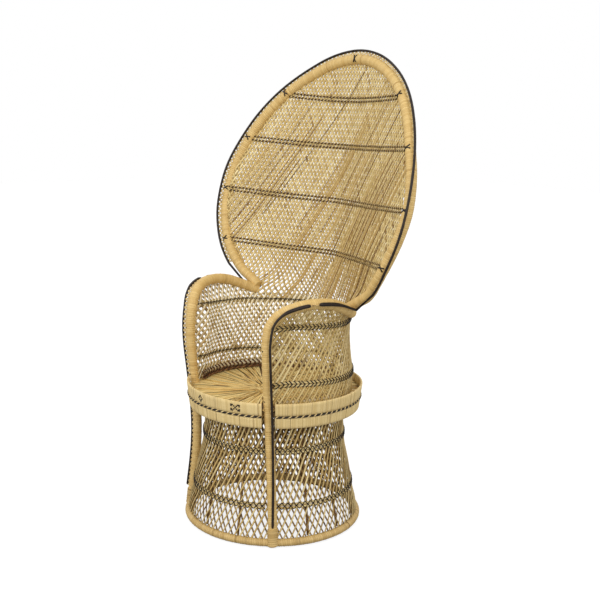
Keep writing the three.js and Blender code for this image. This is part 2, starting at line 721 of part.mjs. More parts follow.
// Rows of the barrel wall's facets: the bands' edges are among them.
const barrelBottom = SEAT_TOP + CLEARANCE;
const bandHalf = BARREL_BAND_HEIGHT / 2;
const barrelBands = { lower: SEAT_TOP + LOWER_BAND_RISE, upper: BARREL_TOP - UPPER_BAND_DROP };
const bandEdges = Object.values(barrelBands).flatMap((height) => [height - bandHalf, height + bandHalf]);
const barrelRows = levels([barrelBottom, ...bandEdges], BARREL_STEP);
const barrelLeast = Math.max(...bandEdges) + FACET_GAP;

function isTall(share) {
  return barrelHeight(share * frontmost) > barrelLeast;
}

// Corners of the wall's outside, from the seat up, in the column at a share of the way to the leg.
function barrelColumn(share) {
  const top = barrelHeight(share * frontmost);
  const squeeze = isTall(share) ? 1 : (top - barrelBottom) / (barrelLeast - barrelBottom);
  const heights = [...barrelRows.map((height) => barrelBottom + (height - barrelBottom) * squeeze), top];
  return heights.map((height) => {
    const angle = share * frontAngle(height);
    return { height, angle, radius: barrelOutside(angle, height) };
  });
}

function barrelFace(columns, inset) {
  return columns[0].map((_, i) => columns.map((column) => {
    const { radius, angle, height } = column[i];
    return polar(radius - inset, angle, height);
  }));
}

function barrelWall(columns, outside, inside) {
  return wall(barrelFace(columns, outside), barrelFace(columns, inside));
}

// Bands follow the wall's own facets, clear of both legs.
function buildBarrel() {
  const panel = barrelWall(barrelShares.map(barrelColumn), 0, BARREL_WALL);
  addPart('barrel_panel', cutAway(panel, bothLegs), PALE);
  const tall = barrelShares.slice(1, -1).filter(isTall).map(barrelColumn);
  const reach = CLEARANCE + BARREL_BAND_DEPTH;
  for (const [name, height] of Object.entries(barrelBands)) {
    const inBand = (row) => Math.abs(row.height - height) < BARREL_BAND_HEIGHT;
    const columns = tall.map((column) => column.filter(inBand));
    const inside = barrelWall(columns, BARREL_WALL + CLEARANCE, BARREL_WALL + reach);
    addPart(`barrel_band_${name}_outer`, barrelWall(columns, -reach, -CLEARANCE), DARK);
    addPart(`barrel_band_${name}_inner`, inside, DARK);
  }
}

const backShares = Array.from({ length: BACK_COLUMNS + 1 }, (_, k) => (2 * k) / BACK_COLUMNS - 1);

function backRow(z, forward, heightAt = () => z) {
  return backShares.map((share) => {
    const x = share * backHalfWidth(z);
    return backPoint(x, heightAt(x)).addScaledVector(backFacing(x, heightAt(x)), forward);
  });
}

// Height of the woven back's tip at a half width: its last row follows the rim.
function tipHeight(x) {
  const pairs = backEdge.map(([height, width]) => [width, height]).reverse();
  const next = Math.max(1, pairs.findIndex(([width]) => width > Math.abs(x)));
  const [near, far] = [pairs[next - 1], pairs[next]];
  return THREE.MathUtils.mapLinear(Math.abs(x), near[0], far[0], near[1], far[1]);
}

function backFace(heights, forward) {
  const rows = heights.map((z) => backRow(z, forward));
  rows[rows.length - 1] = backRow(heights[heights.length - 1], forward, tipHeight);
  return rows;
}

function buildBack() {
  const half = BACK_WALL / 2;
  const top = backEdge[backEdge.length - 1][0] - BACK_TIP;
  const bottom = BARREL_TOP + FACET_GAP;
  const heights = levels([bottom, top], (top - bottom) / BACK_ROWS);
  const isOpen = (row, column) => row > 0 && row < BACK_ROWS && column > 0 && column < BACK_COLUMNS;
  const panel = openwork(backFace(heights, half), backFace(heights, -half), isOpen, false);
  addPart('back_panel', cutAway(panel, [rimGrown, ...bothLegs]), PALE);
  const near = half + FACET_GAP;
  BACK_BANDS.forEach((height, i) => {
    const edges = [height - BACK_BAND_HEIGHT / 2, height + BACK_BAND_HEIGHT / 2];
    const rows = (forward) => edges.map((z) => backRow(z, forward));
    const band = wall(rows(near + BACK_BAND_DEPTH), rows(near));
    addPart(`back_band_${i + 1}`, cutAway(band, [rimGrown]), DARK);
  });
  addPart('back_rim_pole', pole(rimStops, rimRadius), NATURAL);
  const laced = rimStops.slice(RIM_ROD_START, -RIM_ROD_START);
  addPart('back_rim_lacing', lacing(laced, rimRadius), PALE);
  const armRod = stopsBetween(shareAtAngle(BACK_ROD_END), shareAtAngle(ARM_ROD_NECK)).map(rodPoint);
  const leftArmRod = armRod.map(mirrored).reverse();
  addPart('back_rim_rod', rodAlong([...armRod, ...laced.map(rodPoint), ...leftArmRod], ROD_STEPS), DARK);
}

buildBase();
buildSkirt();
buildSeat();
buildSeatBands();
buildLegs();
buildBarrel();
buildBack();

// The origin is the middle of the chair's box, on the floor.
const box = new THREE.Box3().setFromObject(chair);
chair.position.y = -(box.min.y + box.max.y) / 2;

export default chair;
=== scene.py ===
"""Peacock chair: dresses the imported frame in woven, wound and braided cane, and sets the view."""
import logging
import math
from abc import ABC, abstractmethod
from dataclasses import dataclass
from enum import Enum

import bpy
import numpy as np
from bpy.types import NodeSocket, NodeTree
from mathutils import Matrix, Vector
from numpy.random import Generator


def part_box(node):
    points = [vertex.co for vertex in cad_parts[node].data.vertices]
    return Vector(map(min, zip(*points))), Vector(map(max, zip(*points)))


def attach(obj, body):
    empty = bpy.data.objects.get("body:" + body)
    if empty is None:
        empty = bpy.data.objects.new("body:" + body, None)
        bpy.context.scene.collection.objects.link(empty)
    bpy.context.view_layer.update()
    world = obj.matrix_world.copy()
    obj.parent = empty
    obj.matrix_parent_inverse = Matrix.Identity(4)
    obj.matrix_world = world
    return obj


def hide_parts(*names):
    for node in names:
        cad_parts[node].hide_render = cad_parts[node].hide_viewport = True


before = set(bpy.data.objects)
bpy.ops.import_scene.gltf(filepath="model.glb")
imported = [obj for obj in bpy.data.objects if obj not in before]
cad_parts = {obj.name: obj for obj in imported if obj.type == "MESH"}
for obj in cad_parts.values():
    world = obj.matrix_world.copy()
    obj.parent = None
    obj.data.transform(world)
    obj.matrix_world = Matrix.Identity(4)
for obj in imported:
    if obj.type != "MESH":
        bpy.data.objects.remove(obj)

log = logging.getLogger("peacock_chair")
ROOT = "root"
SEED = 7
TINY = 1e-12
SHOULDER = 0.85
MID_TONE = 0.5
FRONT = np.array([0.0, -1.0, 0.0])
UP = np.array([0.0, 0.0, 1.0])
WHITE = (1.0, 1.0, 1.0, 1.0)
Array = np.ndarray
Pair = tuple[float, float]
Triple = tuple[float, float, float]
Colour = tuple[float, float, float, float]


def round_corners(sides: int) -> tuple[Pair, ...]:
    """Corners of a round section, as shares of its half width and half thickness."""
    turns = [2 * math.pi * k / sides for k in range(sides)]
    return tuple((math.cos(turn), math.sin(turn)) for turn in turns)


class Section(Enum):
    """Sections of strands, as corners across and out."""

    STRAND = round_corners(6)
    ROD = round_corners(10)
    POLE = round_corners(20)
    SPLIT = ((1.0, -0.8), (SHOULDER, 0.35), (0.35, 0.95), (-0.35, 0.95), (-SHOULDER, 0.35), (-1.0, -0.8))
    BAND = ((1.0, -0.6), (1.0, 0.5), (0.95, 0.95), (0.5, 1.0), (-0.5, 1.0), (-0.95, 0.95),
            (-1.0, 0.5), (-1.0, -0.6), (-0.95, -1.0), (0.95, -1.0))


class Slot(Enum):
    """Material slots of the record."""

    WRAPPED = "wrapped_cane"
    WOVEN = "woven_cane"
    DARK = "dark_cane"
    BROWN = "brown_cane"


class Lean(Enum):
    """Way that a wall's first coordinate goes as a cane rises."""

    WITH = 1
    AGAINST = -1


class Side(Enum):
    """Sides of the chair, right being +X."""

    RIGHT = 1
    LEFT = -1

    @property
    def label(self) -> str:
        """Its word in the names of pieces."""
        return self.name.lower()

    @property
    def flip(self) -> Array:
        """Factors that mirror a point of the right side on to this one."""
        return np.array([self.value, 1, 1])


def unit(vectors: Array) -> Array:
    """Vectors of the same heading, one long."""
    return vectors / np.maximum(np.linalg.norm(vectors, axis=-1, keepdims=True), TINY)


def polar(radius: Array, angle: Array, height: Array) -> Array:
    """Points at a radius and an angle in radians from the back, round the seat's axis."""
    parts = np.broadcast_arrays(radius * np.sin(angle), radius * np.cos(angle), height)
    return np.stack(parts, axis=-1).astype(float)


def smoothstep(value: Array, low: Array, high: Array) -> Array:
    """Smooth rise from nought at low to one at high."""
    share = np.clip((value - low) / (high - low), 0, 1)
    return share * share * (3 - 2 * share)


def headings(path: Array, closed: bool = False) -> Array:
    """Unit tangents of a path.

    Args:
        path: Its points.
        closed: Whether its end joins its start.

    Returns:
        The tangents at the points.
    """
    if closed:
        return unit(np.roll(path, -1, axis=0) - np.roll(path, 1, axis=0))
    return unit(np.gradient(path, axis=0))


def distances(path: Array) -> Array:
    """Distances along a path of its points, from the first one."""
    return np.concatenate([[0.0], np.cumsum(np.linalg.norm(np.diff(path, axis=0), axis=1))])


def radial(points: Array) -> Array:
    """Level headings away from the seat's axis."""
    return points * (1, 1, 0)


def ring_parts(front: float, rear: float) -> tuple[tuple[str, float, float], ...]:
    """Name, start and end in degrees of the two parts of a ring that the legs cut."""
    return ("front", front, 360 - front), ("rear", -rear, rear)


def from_hex(code: str) -> Colour:
    """Linear colour from a display colour, by the usual curve of displays.

    Args:
        code: The display colour, as six hex digits.

    Returns:
        The linear colour.
    """
    shares = [int(code[k:k + 2], 16) / 255 for k in (0, 2, 4)]
    linear = [s / 12.92 if s <= 0.04045 else ((s + 0.055) / 1.055) ** 2.4 for s in shares]
    return (linear[0], linear[1], linear[2], 1.0)


@dataclass(frozen=True)
class Profile:
    """Smooth curve through knots of place and value."""

    knots: tuple[Pair, ...]  # The knots, with rising places

    @classmethod
    def flat(cls, value: float) -> "Profile":
        """Curve with one value everywhere."""
        return cls(((0.0, value), (1.0, value)))

    def at(self, place: Array) -> Array:
        """Values at some places, held at the ends.

        Args:
            place: Places to read.

        Returns:
            The values there.
        """
        xs, ys = np.array(self.knots).T
        slopes = np.empty_like(ys)
        slopes[1:-1] = (ys[2:] - ys[:-2]) / (xs[2:] - xs[:-2])
        slopes[0] = (ys[1] - ys[0]) / (xs[1] - xs[0])
        slopes[-1] = (ys[-1] - ys[-2]) / (xs[-1] - xs[-2])
        x = np.clip(place, xs[0], xs[-1])
        i = np.clip(np.searchsorted(xs, x) - 1, 0, len(xs) - 2)
        span = xs[i + 1] - xs[i]
        t = (x - xs[i]) / span
        bend = span * (slopes[i] * t * (1 - t) ** 2 - slopes[i + 1] * t * t * (1 - t))
        return ys[i] + (ys[i + 1] - ys[i]) * t * t * (3 - 2 * t) + bend


class Path:
    """Smooth path through points, read by the distance along it."""

    STEPS = 40  # Steps between two of the points
    NEAR = 0.004  # Distance to both sides over which a heading is taken

    def __init__(self, knots: Array) -> None:
        """Rounds the path.

        Args:
            knots: Points that it goes through.
        """
        ends = np.vstack([2 * knots[0] - knots[1], knots, 2 * knots[-1] - knots[-2]])
        t = np.linspace(0, 1, self.STEPS, endpoint=False)[:, None]
        parts = []
        for a, b, c, d in zip(ends, ends[1:], ends[2:], ends[3:]):
            g, h, k = (math.sqrt(np.linalg.norm(q - p)) for p, q in ((a, b), (b, c), (c, d)))
            leave = ((b - a) / g - (c - a) / (g + h) + (c - b) / h) * h
            arrive = ((c - b) / h - (d - b) / (h + k) + (d - c) / k) * h
            rise = t * t * (3 - 2 * t)
            parts.append(b + (c - b) * rise + leave * t * (1 - t) ** 2 - arrive * t * t * (1 - t))
        self.points = np.vstack([*parts, knots[-1:]])
        self.along = distances(self.points)

    @property
    def length(self) -> float:
        """Length of the whole path."""
        return float(self.along[-1])

    def at(self, along: Array) -> Array:
        """Points at some distances along the path."""
        return np.stack([np.interp(along, self.along, axis) for axis in self.points.T], axis=-1)

    def heading(self, along: Array) -> Array:
        """Unit tangents at some distances along the path."""
        ahead = np.minimum(along + self.NEAR, self.length)
        return unit(self.at(ahead) - self.at(np.maximum(along - self.NEAR, 0)))

    def where(self, passed: Array) -> float:
        """Distance along the path of the first of its points that passed a test."""
        return float(self.along[np.argmax(passed)])


def group_tree(name: str, inputs: dict[str, str], outputs: dict[str, str]) -> NodeTree:
    """Starts a shader node group.

    Args:
        name: Its name.
        inputs: Socket types by the names of its inputs.
        outputs: Socket types by the names of its outputs.

    Returns:
        The group, with its input and output nodes named so.
    """
    tree = bpy.data.node_groups.new(name, "ShaderNodeTree")
    for label, kind in inputs.items():
        tree.interface.new_socket(label, in_out="INPUT", socket_type=kind)
    for label, kind in outputs.items():
        tree.interface.new_socket(label, in_out="OUTPUT", socket_type=kind)
    tree.nodes.new("NodeGroupInput").name = "in"
    tree.nodes.new("NodeGroupOutput").name = "out"
    return tree


def feed(tree: NodeTree, value: NodeSocket | float | Colour, socket: NodeSocket) -> None:
    """Gives a value to an input.

    Args:
        tree: Tree that holds the input.
        value: A socket, which is linked, or a plain value.
        socket: The input.
    """
    if isinstance(value, NodeSocket):
        tree.links.new(value, socket)
    else:
        socket.default_value = value


def math_node(tree: NodeTree, kind: str, first: NodeSocket, second: NodeSocket | float) -> NodeSocket:
    """Adds a sum of two values to a node tree.

    Args:
        tree: The tree.
        kind: Blender's name of the sum.
        first: First value.
        second: Second value, a socket or a number.

    Returns:
        The socket with the result.
    """
    node = tree.nodes.new("ShaderNodeMath")
    node.operation = kind
    feed(tree, first, node.inputs[0])
    feed(tree, second, node.inputs[1])
    return node.outputs[0]


def strand_value(tree: NodeTree, name: str) -> NodeSocket:
    """Adds a value that each strand carries in its mesh to a node tree.

    Args:
        tree: The tree.
        name: Name of the value.

    Returns:
        The socket with it.
    """
    node = tree.nodes.new("ShaderNodeAttribute")
    node.attribute_name = name
    return node.outputs["Fac"]


# Shares of a strand's shade and of its clouds in its colour, and the shift to the pale side
TONE_SHARE, CLOUD_SHARE, PALE_SHIFT = 0.7, 0.55, 0.12
# Clouds and stains: how many a metre holds, and how far apart two strands read them
CLOUDS, STAINS = (22.0, 61.0), (9.0, 173.0)
STAIN_START, STAIN_RISE = 0.75, 7.0
# Painted shade on a strand's shoulders, for the dark gaps between canes: its brown, and its strength
SHOULDER_SHADE_COLOUR, SHOULDER_SHADE_SHARE = "a0864e", 0.8
FIBRE_DETAIL = 3.0
# Places of a colour mix's sockets
MIX_FIRST, MIX_SECOND, MIX_RESULT = 6, 7, 2


def cane_colour() -> NodeTree:
    """Group that colours cane strand by strand, with clouds, stained lengths and painted shade on the
    shoulders.

    Returns:
        The group, made once.
    """
    name = "Cane colour"
    if name in bpy.data.node_groups:
        return bpy.data.node_groups[name]
    colours = {label: "NodeSocketColor" for label in ("Pale", "Deep", "Stain")}
    tree = group_tree(name, colours | {"Stained": "NodeSocketFloat"}, {"Colour": "NodeSocketColor"})
    source, result = tree.nodes["in"], tree.nodes["out"]
    tone, along = strand_value(tree, "tone"), strand_value(tree, "along")

    def cloud(stretch: float, shift: float) -> NodeSocket:
        """Adds noise along a strand, of its own for each strand.

        Args:
            stretch: Clouds for each metre.
            shift: How far apart the strands read the noise.

        Returns:
            The socket with the noise.
        """
        place = tree.nodes.new("ShaderNodeCombineXYZ")
        feed(tree, math_node(tree, "MULTIPLY", along, stretch), place.inputs[0])
        feed(tree, math_node(tree, "MULTIPLY", tone, shift), place.inputs[1])
        noise = tree.nodes.new("ShaderNodeTexNoise")
        noise.inputs["Scale"].default_value = 1.0
        feed(tree, place.outputs[0], noise.inputs["Vector"])
        return noise.outputs[0]

    def blend(share: NodeSocket, first: NodeSocket,
              second: NodeSocket | Colour, kind: str = "MIX") -> NodeSocket:
        """Adds a mix of two colours.

        Args:
            share: Share of the second.
            first: First colour.
            second: Second colour, a socket or a plain colour.
            kind: Blender's name of the mix.

        Returns:
            The socket with the result.
        """
        node = tree.nodes.new("ShaderNodeMix")
        node.data_type, node.blend_type = "RGBA", kind
        feed(tree, share, node.inputs[0])
        feed(tree, first, node.inputs[MIX_FIRST])
        feed(tree, second, node.inputs[MIX_SECOND])
        return node.outputs[MIX_RESULT]

    body = math_node(tree, "MULTIPLY", tone, TONE_SHARE)
    mottle = math_node(tree, "MULTIPLY", cloud(*CLOUDS), CLOUD_SHARE)
    share = math_node(tree, "SUBTRACT", math_node(tree, "ADD", body, mottle), PALE_SHIFT)
    plain = blend(share, source.outputs["Pale"], source.outputs["Deep"])
    excess = math_node(tree, "ADD", cloud(*STAINS), source.outputs["Stained"])
    stain = math_node(tree, "MULTIPLY", math_node(tree, "SUBTRACT", excess, STAIN_START), STAIN_RISE)
    clamp = tree.nodes.new("ShaderNodeClamp")
    feed(tree, stain, clamp.inputs[0])
    body_colour = blend(clamp.outputs[0], plain, source.outputs["Stain"])
    # Painted shade: the shoulders are multiplied by a brown
    edge = math_node(tree, "MULTIPLY", strand_value(tree, "edge"), SHOULDER_SHADE_SHARE)
    feed(tree, blend(edge, body_colour, from_hex(SHOULDER_SHADE_COLOUR), "MULTIPLY"), result.inputs["Colour"])
    return tree


def cane_relief() -> NodeTree:
    """Group with the fine fibres of peeled cane, as a height.

    Returns:
        The group, made once.
    """
    name = "Cane relief"
    if name in bpy.data.node_groups:
        return bpy.data.node_groups[name]
    tree = group_tree(name, {"Scale": "NodeSocketFloat"}, {"Height": "NodeSocketFloat"})
    place = tree.nodes.new("ShaderNodeTexCoord")
    noise = tree.nodes.new("ShaderNodeTexNoise")
    noise.inputs["Detail"].default_value = FIBRE_DETAIL
    tree.links.new(place.outputs["Object"], noise.inputs["Vector"])
    tree.links.new(tree.nodes["in"].outputs["Scale"], noise.inputs["Scale"])
    tree.links.new(noise.outputs[0], tree.nodes["out"].inputs["Height"])
    return tree


@dataclass(frozen=True)
class CaneFinish:
    """Finish of one sort of cane."""

    name: str  # Its name
    pale: str  # Display colour of its palest strands
    deep: str  # Display colour of its deepest strands
    stain: str  # Display colour of its stained lengths
    stained: float = 0.16  # How much of it is stained, round 0.2
    roughness: float = 0.5  # Roughness of its surface
    relief: float = 0.25  # Strength of its fibres
    fibres: float = 500.0  # Fibres for each metre
    height: float = 0.001  # Height of a fibre
    gloss: float = 0.35  # Strength of its shine

    def material(self) -> bpy.types.Material:
        """Material with this finish, made once.

        Returns:
            The material.
        """
        if self.name in bpy.data.materials:
            return bpy.data.materials[self.name]
        made = bpy.data.materials.new(self.name)
        made.use_nodes = True
        tree = made.node_tree
        shader = tree.nodes["Principled BSDF"]
        colour = tree.nodes.new("ShaderNodeGroup")
        colour.node_tree = cane_colour()
        for label, code in (("Pale", self.pale), ("Deep", self.deep), ("Stain", self.stain)):
            colour.inputs[label].default_value = from_hex(code)
        colour.inputs["Stained"].default_value = self.stained
        tree.links.new(colour.outputs["Colour"], shader.inputs["Base Color"])
        fibres = tree.nodes.new("ShaderNodeGroup")
        fibres.node_tree = cane_relief()
        fibres.inputs["Scale"].default_value = self.fibres
        bump = tree.nodes.new("ShaderNodeBump")
        bump.inputs["Strength"].default_value = self.relief
        bump.inputs["Distance"].default_value = self.height
        tree.links.new(fibres.outputs["Height"], bump.inputs["Height"])
        tree.links.new(bump.outputs["Normal"], shader.inputs["Normal"])
        shader.inputs["Roughness"].default_value = self.roughness
        shader.inputs["Specular IOR Level"].default_value = self.gloss
        return made


WOUND = CaneFinish("Wound cane", "e2c382", "caa560", "a67f40", 0.14, 0.42)
BASE_WOUND = CaneFinish("Wound base cane", "d6b87c", "b59355", "8b6b38", 0.2, 0.5)
WOVEN = CaneFinish("Woven cane", "f6e4b0", "d0b068", "a88344", 0.15, 0.55)
# Darker copy of the woven cane, as painted shade: for the back's falling canes and the backs of the
# barrel's inner canes; also one strand of the back's bands
SHADED_CANE = CaneFinish("Cane in painted shade", "ecd698", "ba9a52", "8c6a32", 0.17, 0.6)
# Painted light: cane paler than the rest, as if lit through the weave
INNER = CaneFinish("Inner cane", "fff4d2", "fae4b4", "c4a26a", 0.16, 0.55)
SKIRT = CaneFinish("Skirt cane", "ecd8a0", "bc9c56", "7c5c2a", 0.17, 0.6)
# Painted shade: darker than the outer layer, for the shade inside the skirt under the seat
SHADED_SKIRT_INNER = CaneFinish("Inner skirt cane in painted shade", "b09056", "6c4e24", "40290e", 0.2, 0.6)
STRAW = CaneFinish("Straw band", "eed79e", "cdae6e", "94744a", 0.18, 0.6)
SEAT = CaneFinish("Sunburst cane", "ffeeae", "f0c468", "966a2e", 0.17, 0.5)
DARK = CaneFinish("Dyed cane", "2c1e12", "150d07", "4c3720", 0.12, 0.5)
BROWN = CaneFinish("Brown cane", "7c5030", "4c2f19", "2e1a0c", 0.15, 0.5)
RUSSET = CaneFinish("Russet cane", "a07848", "73502b", "54371b", 0.15, 0.5)
# Backing under the seat's canes; its dark colour is painted shade in the gaps between them
UNDER = CaneFinish("Sunburst backing in painted shade", "6b4e2a", "4f381d", "38260f", 0.15, 0.7)


class Piece:
    """Strands gathered into one mesh of the chair."""

    axis: float = 0.0  # Depth of the seat's axis, which main takes from the frame

    def __init__(self, name: str, *finishes: CaneFinish) -> None:
        """Starts an empty piece.

        Args:
            name: Its name.
            finishes: Finishes that its strands choose from.
        """
        self.name = name
        self.finishes = finishes
        self.count = 0
        self.points: list[Array] = []
        self.faces: list[Array] = []
        self.tones: list[Array] = []
        self.alongs: list[Array] = []
        self.edges: list[Array] = []
        self.choices: list[Array] = []

    def add(self, path: Array, out: Array, width: Array | float, thick: Array | float, section: Section,
            tone: Array | float, finish: int = 0, tilt: float = 0.0, closed: bool = False) -> None:
        """Adds one strand.

        Args:
            path: Points of its middle.
            out: The way its face looks at each point.
            width: Half width, one for all points or one each.
            thick: Half thickness, one for all points or one each.
            section: Its section.
            tone: Shade of the strand, nought pale and one deep, one for all points or one each.
            finish: Which of the piece's finishes it has.
            tilt: How far each section leans along the strand at its sides.
            closed: Whether the end joins the start.
        """
        corners = np.array(section.value)
        size, sides = len(path), len(corners)
        ahead = headings(path, closed)
        across = unit(np.cross(ahead, np.broadcast_to(out, path.shape)))
        face = np.cross(across, ahead)
        wide = np.broadcast_to(width, size)[:, None] * corners[:, 0]
        deep = np.broadcast_to(thick, size)[:, None] * corners[:, 1]
        rings = path[:, None] + across[:, None] * wide[..., None] + face[:, None] * deep[..., None]
        rings = rings + ahead[:, None] * (tilt * corners[:, 0])[None, :, None]
        index = np.arange(size * sides).reshape(size, sides) + self.count
        here = index if closed else index[:-1]
        there = np.roll(index, -1, axis=0) if closed else index[1:]
        corners_of = (here, there, np.roll(there, -1, axis=1), np.roll(here, -1, axis=1))
        faces = [np.stack(corners_of, axis=-1).reshape(-1, 4)]
        if not closed:
            k = np.arange(sides // 2 - 1)
            cap = np.stack([k, k + 1, sides - 2 - k, sides - 1 - k], axis=-1)
            faces += [index[0][cap], index[-1][cap[:, ::-1]]]
        self.points.append(rings.reshape(-1, 3))
        self.faces += faces
        self.choices.append(np.full(sum(map(len, faces)), finish))
        self.tones.append(np.repeat(np.broadcast_to(tone, size), sides))
        self.alongs.append(np.repeat(distances(path), sides))
        # Shoulders of split sections are marked for painted shade, the dark gaps between canes
        self.edges.append(np.tile(np.abs(corners[:, 0]) == SHOULDER, size).astype(float))
        self.count += size * sides

    def make(self, slot: Slot, *nodes: str) -> None:
        """Makes the piece's mesh and fixes it to the chair.

        Args:
            slot: Material slot of the record; not used.
            nodes: Nodes of the frame that it stands for.
        """
        points = np.vstack(self.points) + (0, self.axis, 0)
        faces = np.vstack(self.faces)
        mesh = bpy.data.meshes.new(self.name)
        mesh.vertices.add(len(points))
        mesh.vertices.foreach_set("co", points.ravel())
        mesh.loops.add(faces.size)
        mesh.loops.foreach_set("vertex_index", faces.ravel())
        mesh.polygons.add(len(faces))
        mesh.polygons.foreach_set("loop_start", np.arange(len(faces)) * 4)
        for finish in self.finishes:
            mesh.materials.append(finish.material())
        mesh.polygons.foreach_set("material_index", np.concatenate(self.choices))
        mesh.polygons.foreach_set("use_smooth", np.ones(len(faces), dtype=bool))
        for label, values in (("tone", self.tones), ("along", self.alongs), ("edge", self.edges)):
            carried = mesh.attributes.new(label, "FLOAT", "POINT")
            carried.data.foreach_set("value", np.concatenate(values))
        mesh.update(calc_edges=True)
        made = bpy.data.objects.new(self.name, mesh)
        bpy.context.scene.collection.objects.link(made)
        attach(made, ROOT)
        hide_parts(*nodes)
        log.info("%s: %d faces, for %s", self.name, len(faces), ", ".join(nodes))


class Pole(ABC):
    """A pole, read by the distance along it."""

    length: float  # Its length
    pole: float  # Its radius
    gap: float = 0.029  # Distance between the middles of the pole and of a rod that follows it

    @abstractmethod
    def stops(self, along: Array) -> tuple[Array, Array]:
        """Middles at some distances along the pole, and the way that its outside looks there."""

    def radius(self, along: Array) -> Array:
        """Radii at some distances along the pole, the same all along."""
        return np.full(np.shape(along), self.pole)

    def rod_gap(self, along: Array) -> Array:
        """Distances between the middles of the pole and of the rod that follows it."""
        return np.full(np.shape(along), self.gap)


@dataclass
class RingPole(Pole):
    """Part of a ring round the seat's axis."""

    ring: float  # Radius of the ring
    height: float  # Height of its middle
    pole: float  # Radius of the pole
    start: float  # Angle where it starts, in degrees
    end: float  # Angle where it ends, in degrees

    def __post_init__(self) -> None:
        """Works out the length."""
        self.length = math.radians(self.end - self.start) * self.ring

    def stops(self, along: Array) -> tuple[Array, Array]:
        """Middles and outward vectors, which are radial."""
        angle = math.radians(self.start) + along / self.ring
        return polar(self.ring, angle, self.height), polar(1.0, angle, 0.0)


@dataclass
class FlaredBand(RingPole):
    """Part of a flared band round the seat."""

    flare: float = 0.0  # Lean of its face, as the drop for each step outward

    def stops(self, along: Array) -> tuple[Array, Array]:
        """Middles, and outward vectors that lean down."""
        middles, out = super().stops(along)
        return middles, unit(out - UP * self.flare)


@dataclass
class StraightPole(Pole):
    """A straight pole."""

    start: Triple  # Its first end
    end: Triple  # Its other end
    pole: float  # Its radius
    out: Triple = (0.0, 0.0, 1.0)  # The way that its outside looks

    def __post_init__(self) -> None:
        """Works out the length."""
        self.length = math.dist(self.start, self.end)

    def stops(self, along: Array) -> tuple[Array, Array]:
        """Middles and outward vectors, the same all along."""
        middles = np.array(self.start) + np.subtract(self.end, self.start) * (along / self.length)[:, None]
        return middles, np.broadcast_to(np.array(self.out), middles.shape)


@dataclass(frozen=True)
class Winding:
    """Cane wound round a pole, turn beside turn."""

    pitch: float = 0.0062  # Width of a turn
    groove: float = 0.0011  # Depth of the groove between two turns
    slant: float = 0.0009  # How far a turn leans along the pole at its sides
    uneven: float = 0.25  # Spread of the turns' widths, as a share
    loose: float = 0.4  # How far a turn may sink, as a share of the groove
    shades: float = 0.8  # Deepest tone of a turn at random; the grooves take the full depth, as painted shade
    rings: tuple[float, ...] = (0.0, 0.16, 0.5, 0.84)  # Where a turn's rings lie, as shares of its width
    # How far each of them is sunk, as a share of the groove
    sunk: tuple[float, ...] = (1.0, 0.25, 0.0, 0.25)

    def cover(self, piece: Piece, pole: Pole, rng: Generator, start: float = 0.0,
              section: Section = Section.POLE, height: float | None = None) -> None:
        """Winds a pole up to its end.

        Args:
            piece: Piece that takes the winding.
            pole: The pole.
            rng: Source of its unevenness.
            start: Distance along the pole where it starts.
            section: Section of the wound pole.
            height: Half width of a flat band, a round pole if left out.
        """
        turns = max(2, round((pole.length - start) / self.pitch))
        widths = 1 + self.uneven * (rng.random(turns) - 0.5)
        edges = start + np.concatenate([[0.0], np.cumsum(widths)]) * (pole.length - start) / widths.sum()
        along = (edges[:-1, None] + np.diff(edges)[:, None] * np.array(self.rings)).ravel()
        loose = np.repeat(rng.random(turns) * self.loose, len(self.rings))
        depth = np.append((np.tile(self.sunk, turns) + loose) * self.groove, self.groove)
        tone = np.append(np.repeat(rng.random(turns) * self.shades, len(self.rings)), 1.0)
        # Painted shade: the groove between two turns, and the end, take the deepest tone
        tone[::len(self.rings)] = 1.0
        along = np.append(along, pole.length)
        middles, out = pole.stops(along)
        radius = pole.radius(along) - depth
        wide = radius if height is None else height - depth / 2
        piece.add(middles, out, wide, radius, section, tone, tilt=self.slant)

    def make(self, name: str, node: str, pole: Pole, rng: Generator,
             finish: CaneFinish = WOUND, start: float = 0.0) -> None:
        """Makes a piece that is one wound pole.

        Args:
            name: Name of the piece.
            node: Node of the frame that it stands for.
            pole: The pole.
            rng: Source of its unevenness.
            finish: Finish of the winding.
            start: Distance along the pole where it starts.
        """
        piece = Piece(name, finish)
        self.cover(piece, pole, rng, start)
        piece.make(Slot.WRAPPED, node)


class Wall(ABC):
    """A woven wall, with a place for each pair of coordinates."""

    NEAR = 0.002  # Step of a coordinate over which the way that it faces is taken

    @abstractmethod
    def place(self, a: Array, b: Array) -> Array:
        """Points of its middle at some first coordinates, across the wall, and heights."""

    @abstractmethod
    def inside(self, a: Array, b: Array) -> Array:
        """Whether the wall is there at some coordinates."""

    def outward(self, points: Array) -> Array:
        """Rough headings of the side that counts as its face, here away from the axis."""
        return radial(points)

    def facing(self, a: Array, b: Array) -> Array:
        """Unit vectors square to the wall, on the side of its face.

        Args:
            a: First coordinates.
            b: Second coordinates.

        Returns:
            The vectors.
        """
        along_a = self.place(a + self.NEAR, b) - self.place(a - self.NEAR, b)
        along_b = self.place(a, b + self.NEAR) - self.place(a, b - self.NEAR)
        square = unit(np.cross(along_a, along_b))
        turn = np.sign(np.sum(square * self.outward(self.place(a, b)), axis=-1, keepdims=True))
        return square * turn

    def lifted(self, a: Array, b: Array, lift: Array | float) -> tuple[Array, Array]:
        """Points at some distances off the wall's middle, and the way that it faces there."""
        face = self.facing(a, b)
        return self.place(a, b) + face * np.reshape(lift, (-1, 1)), face


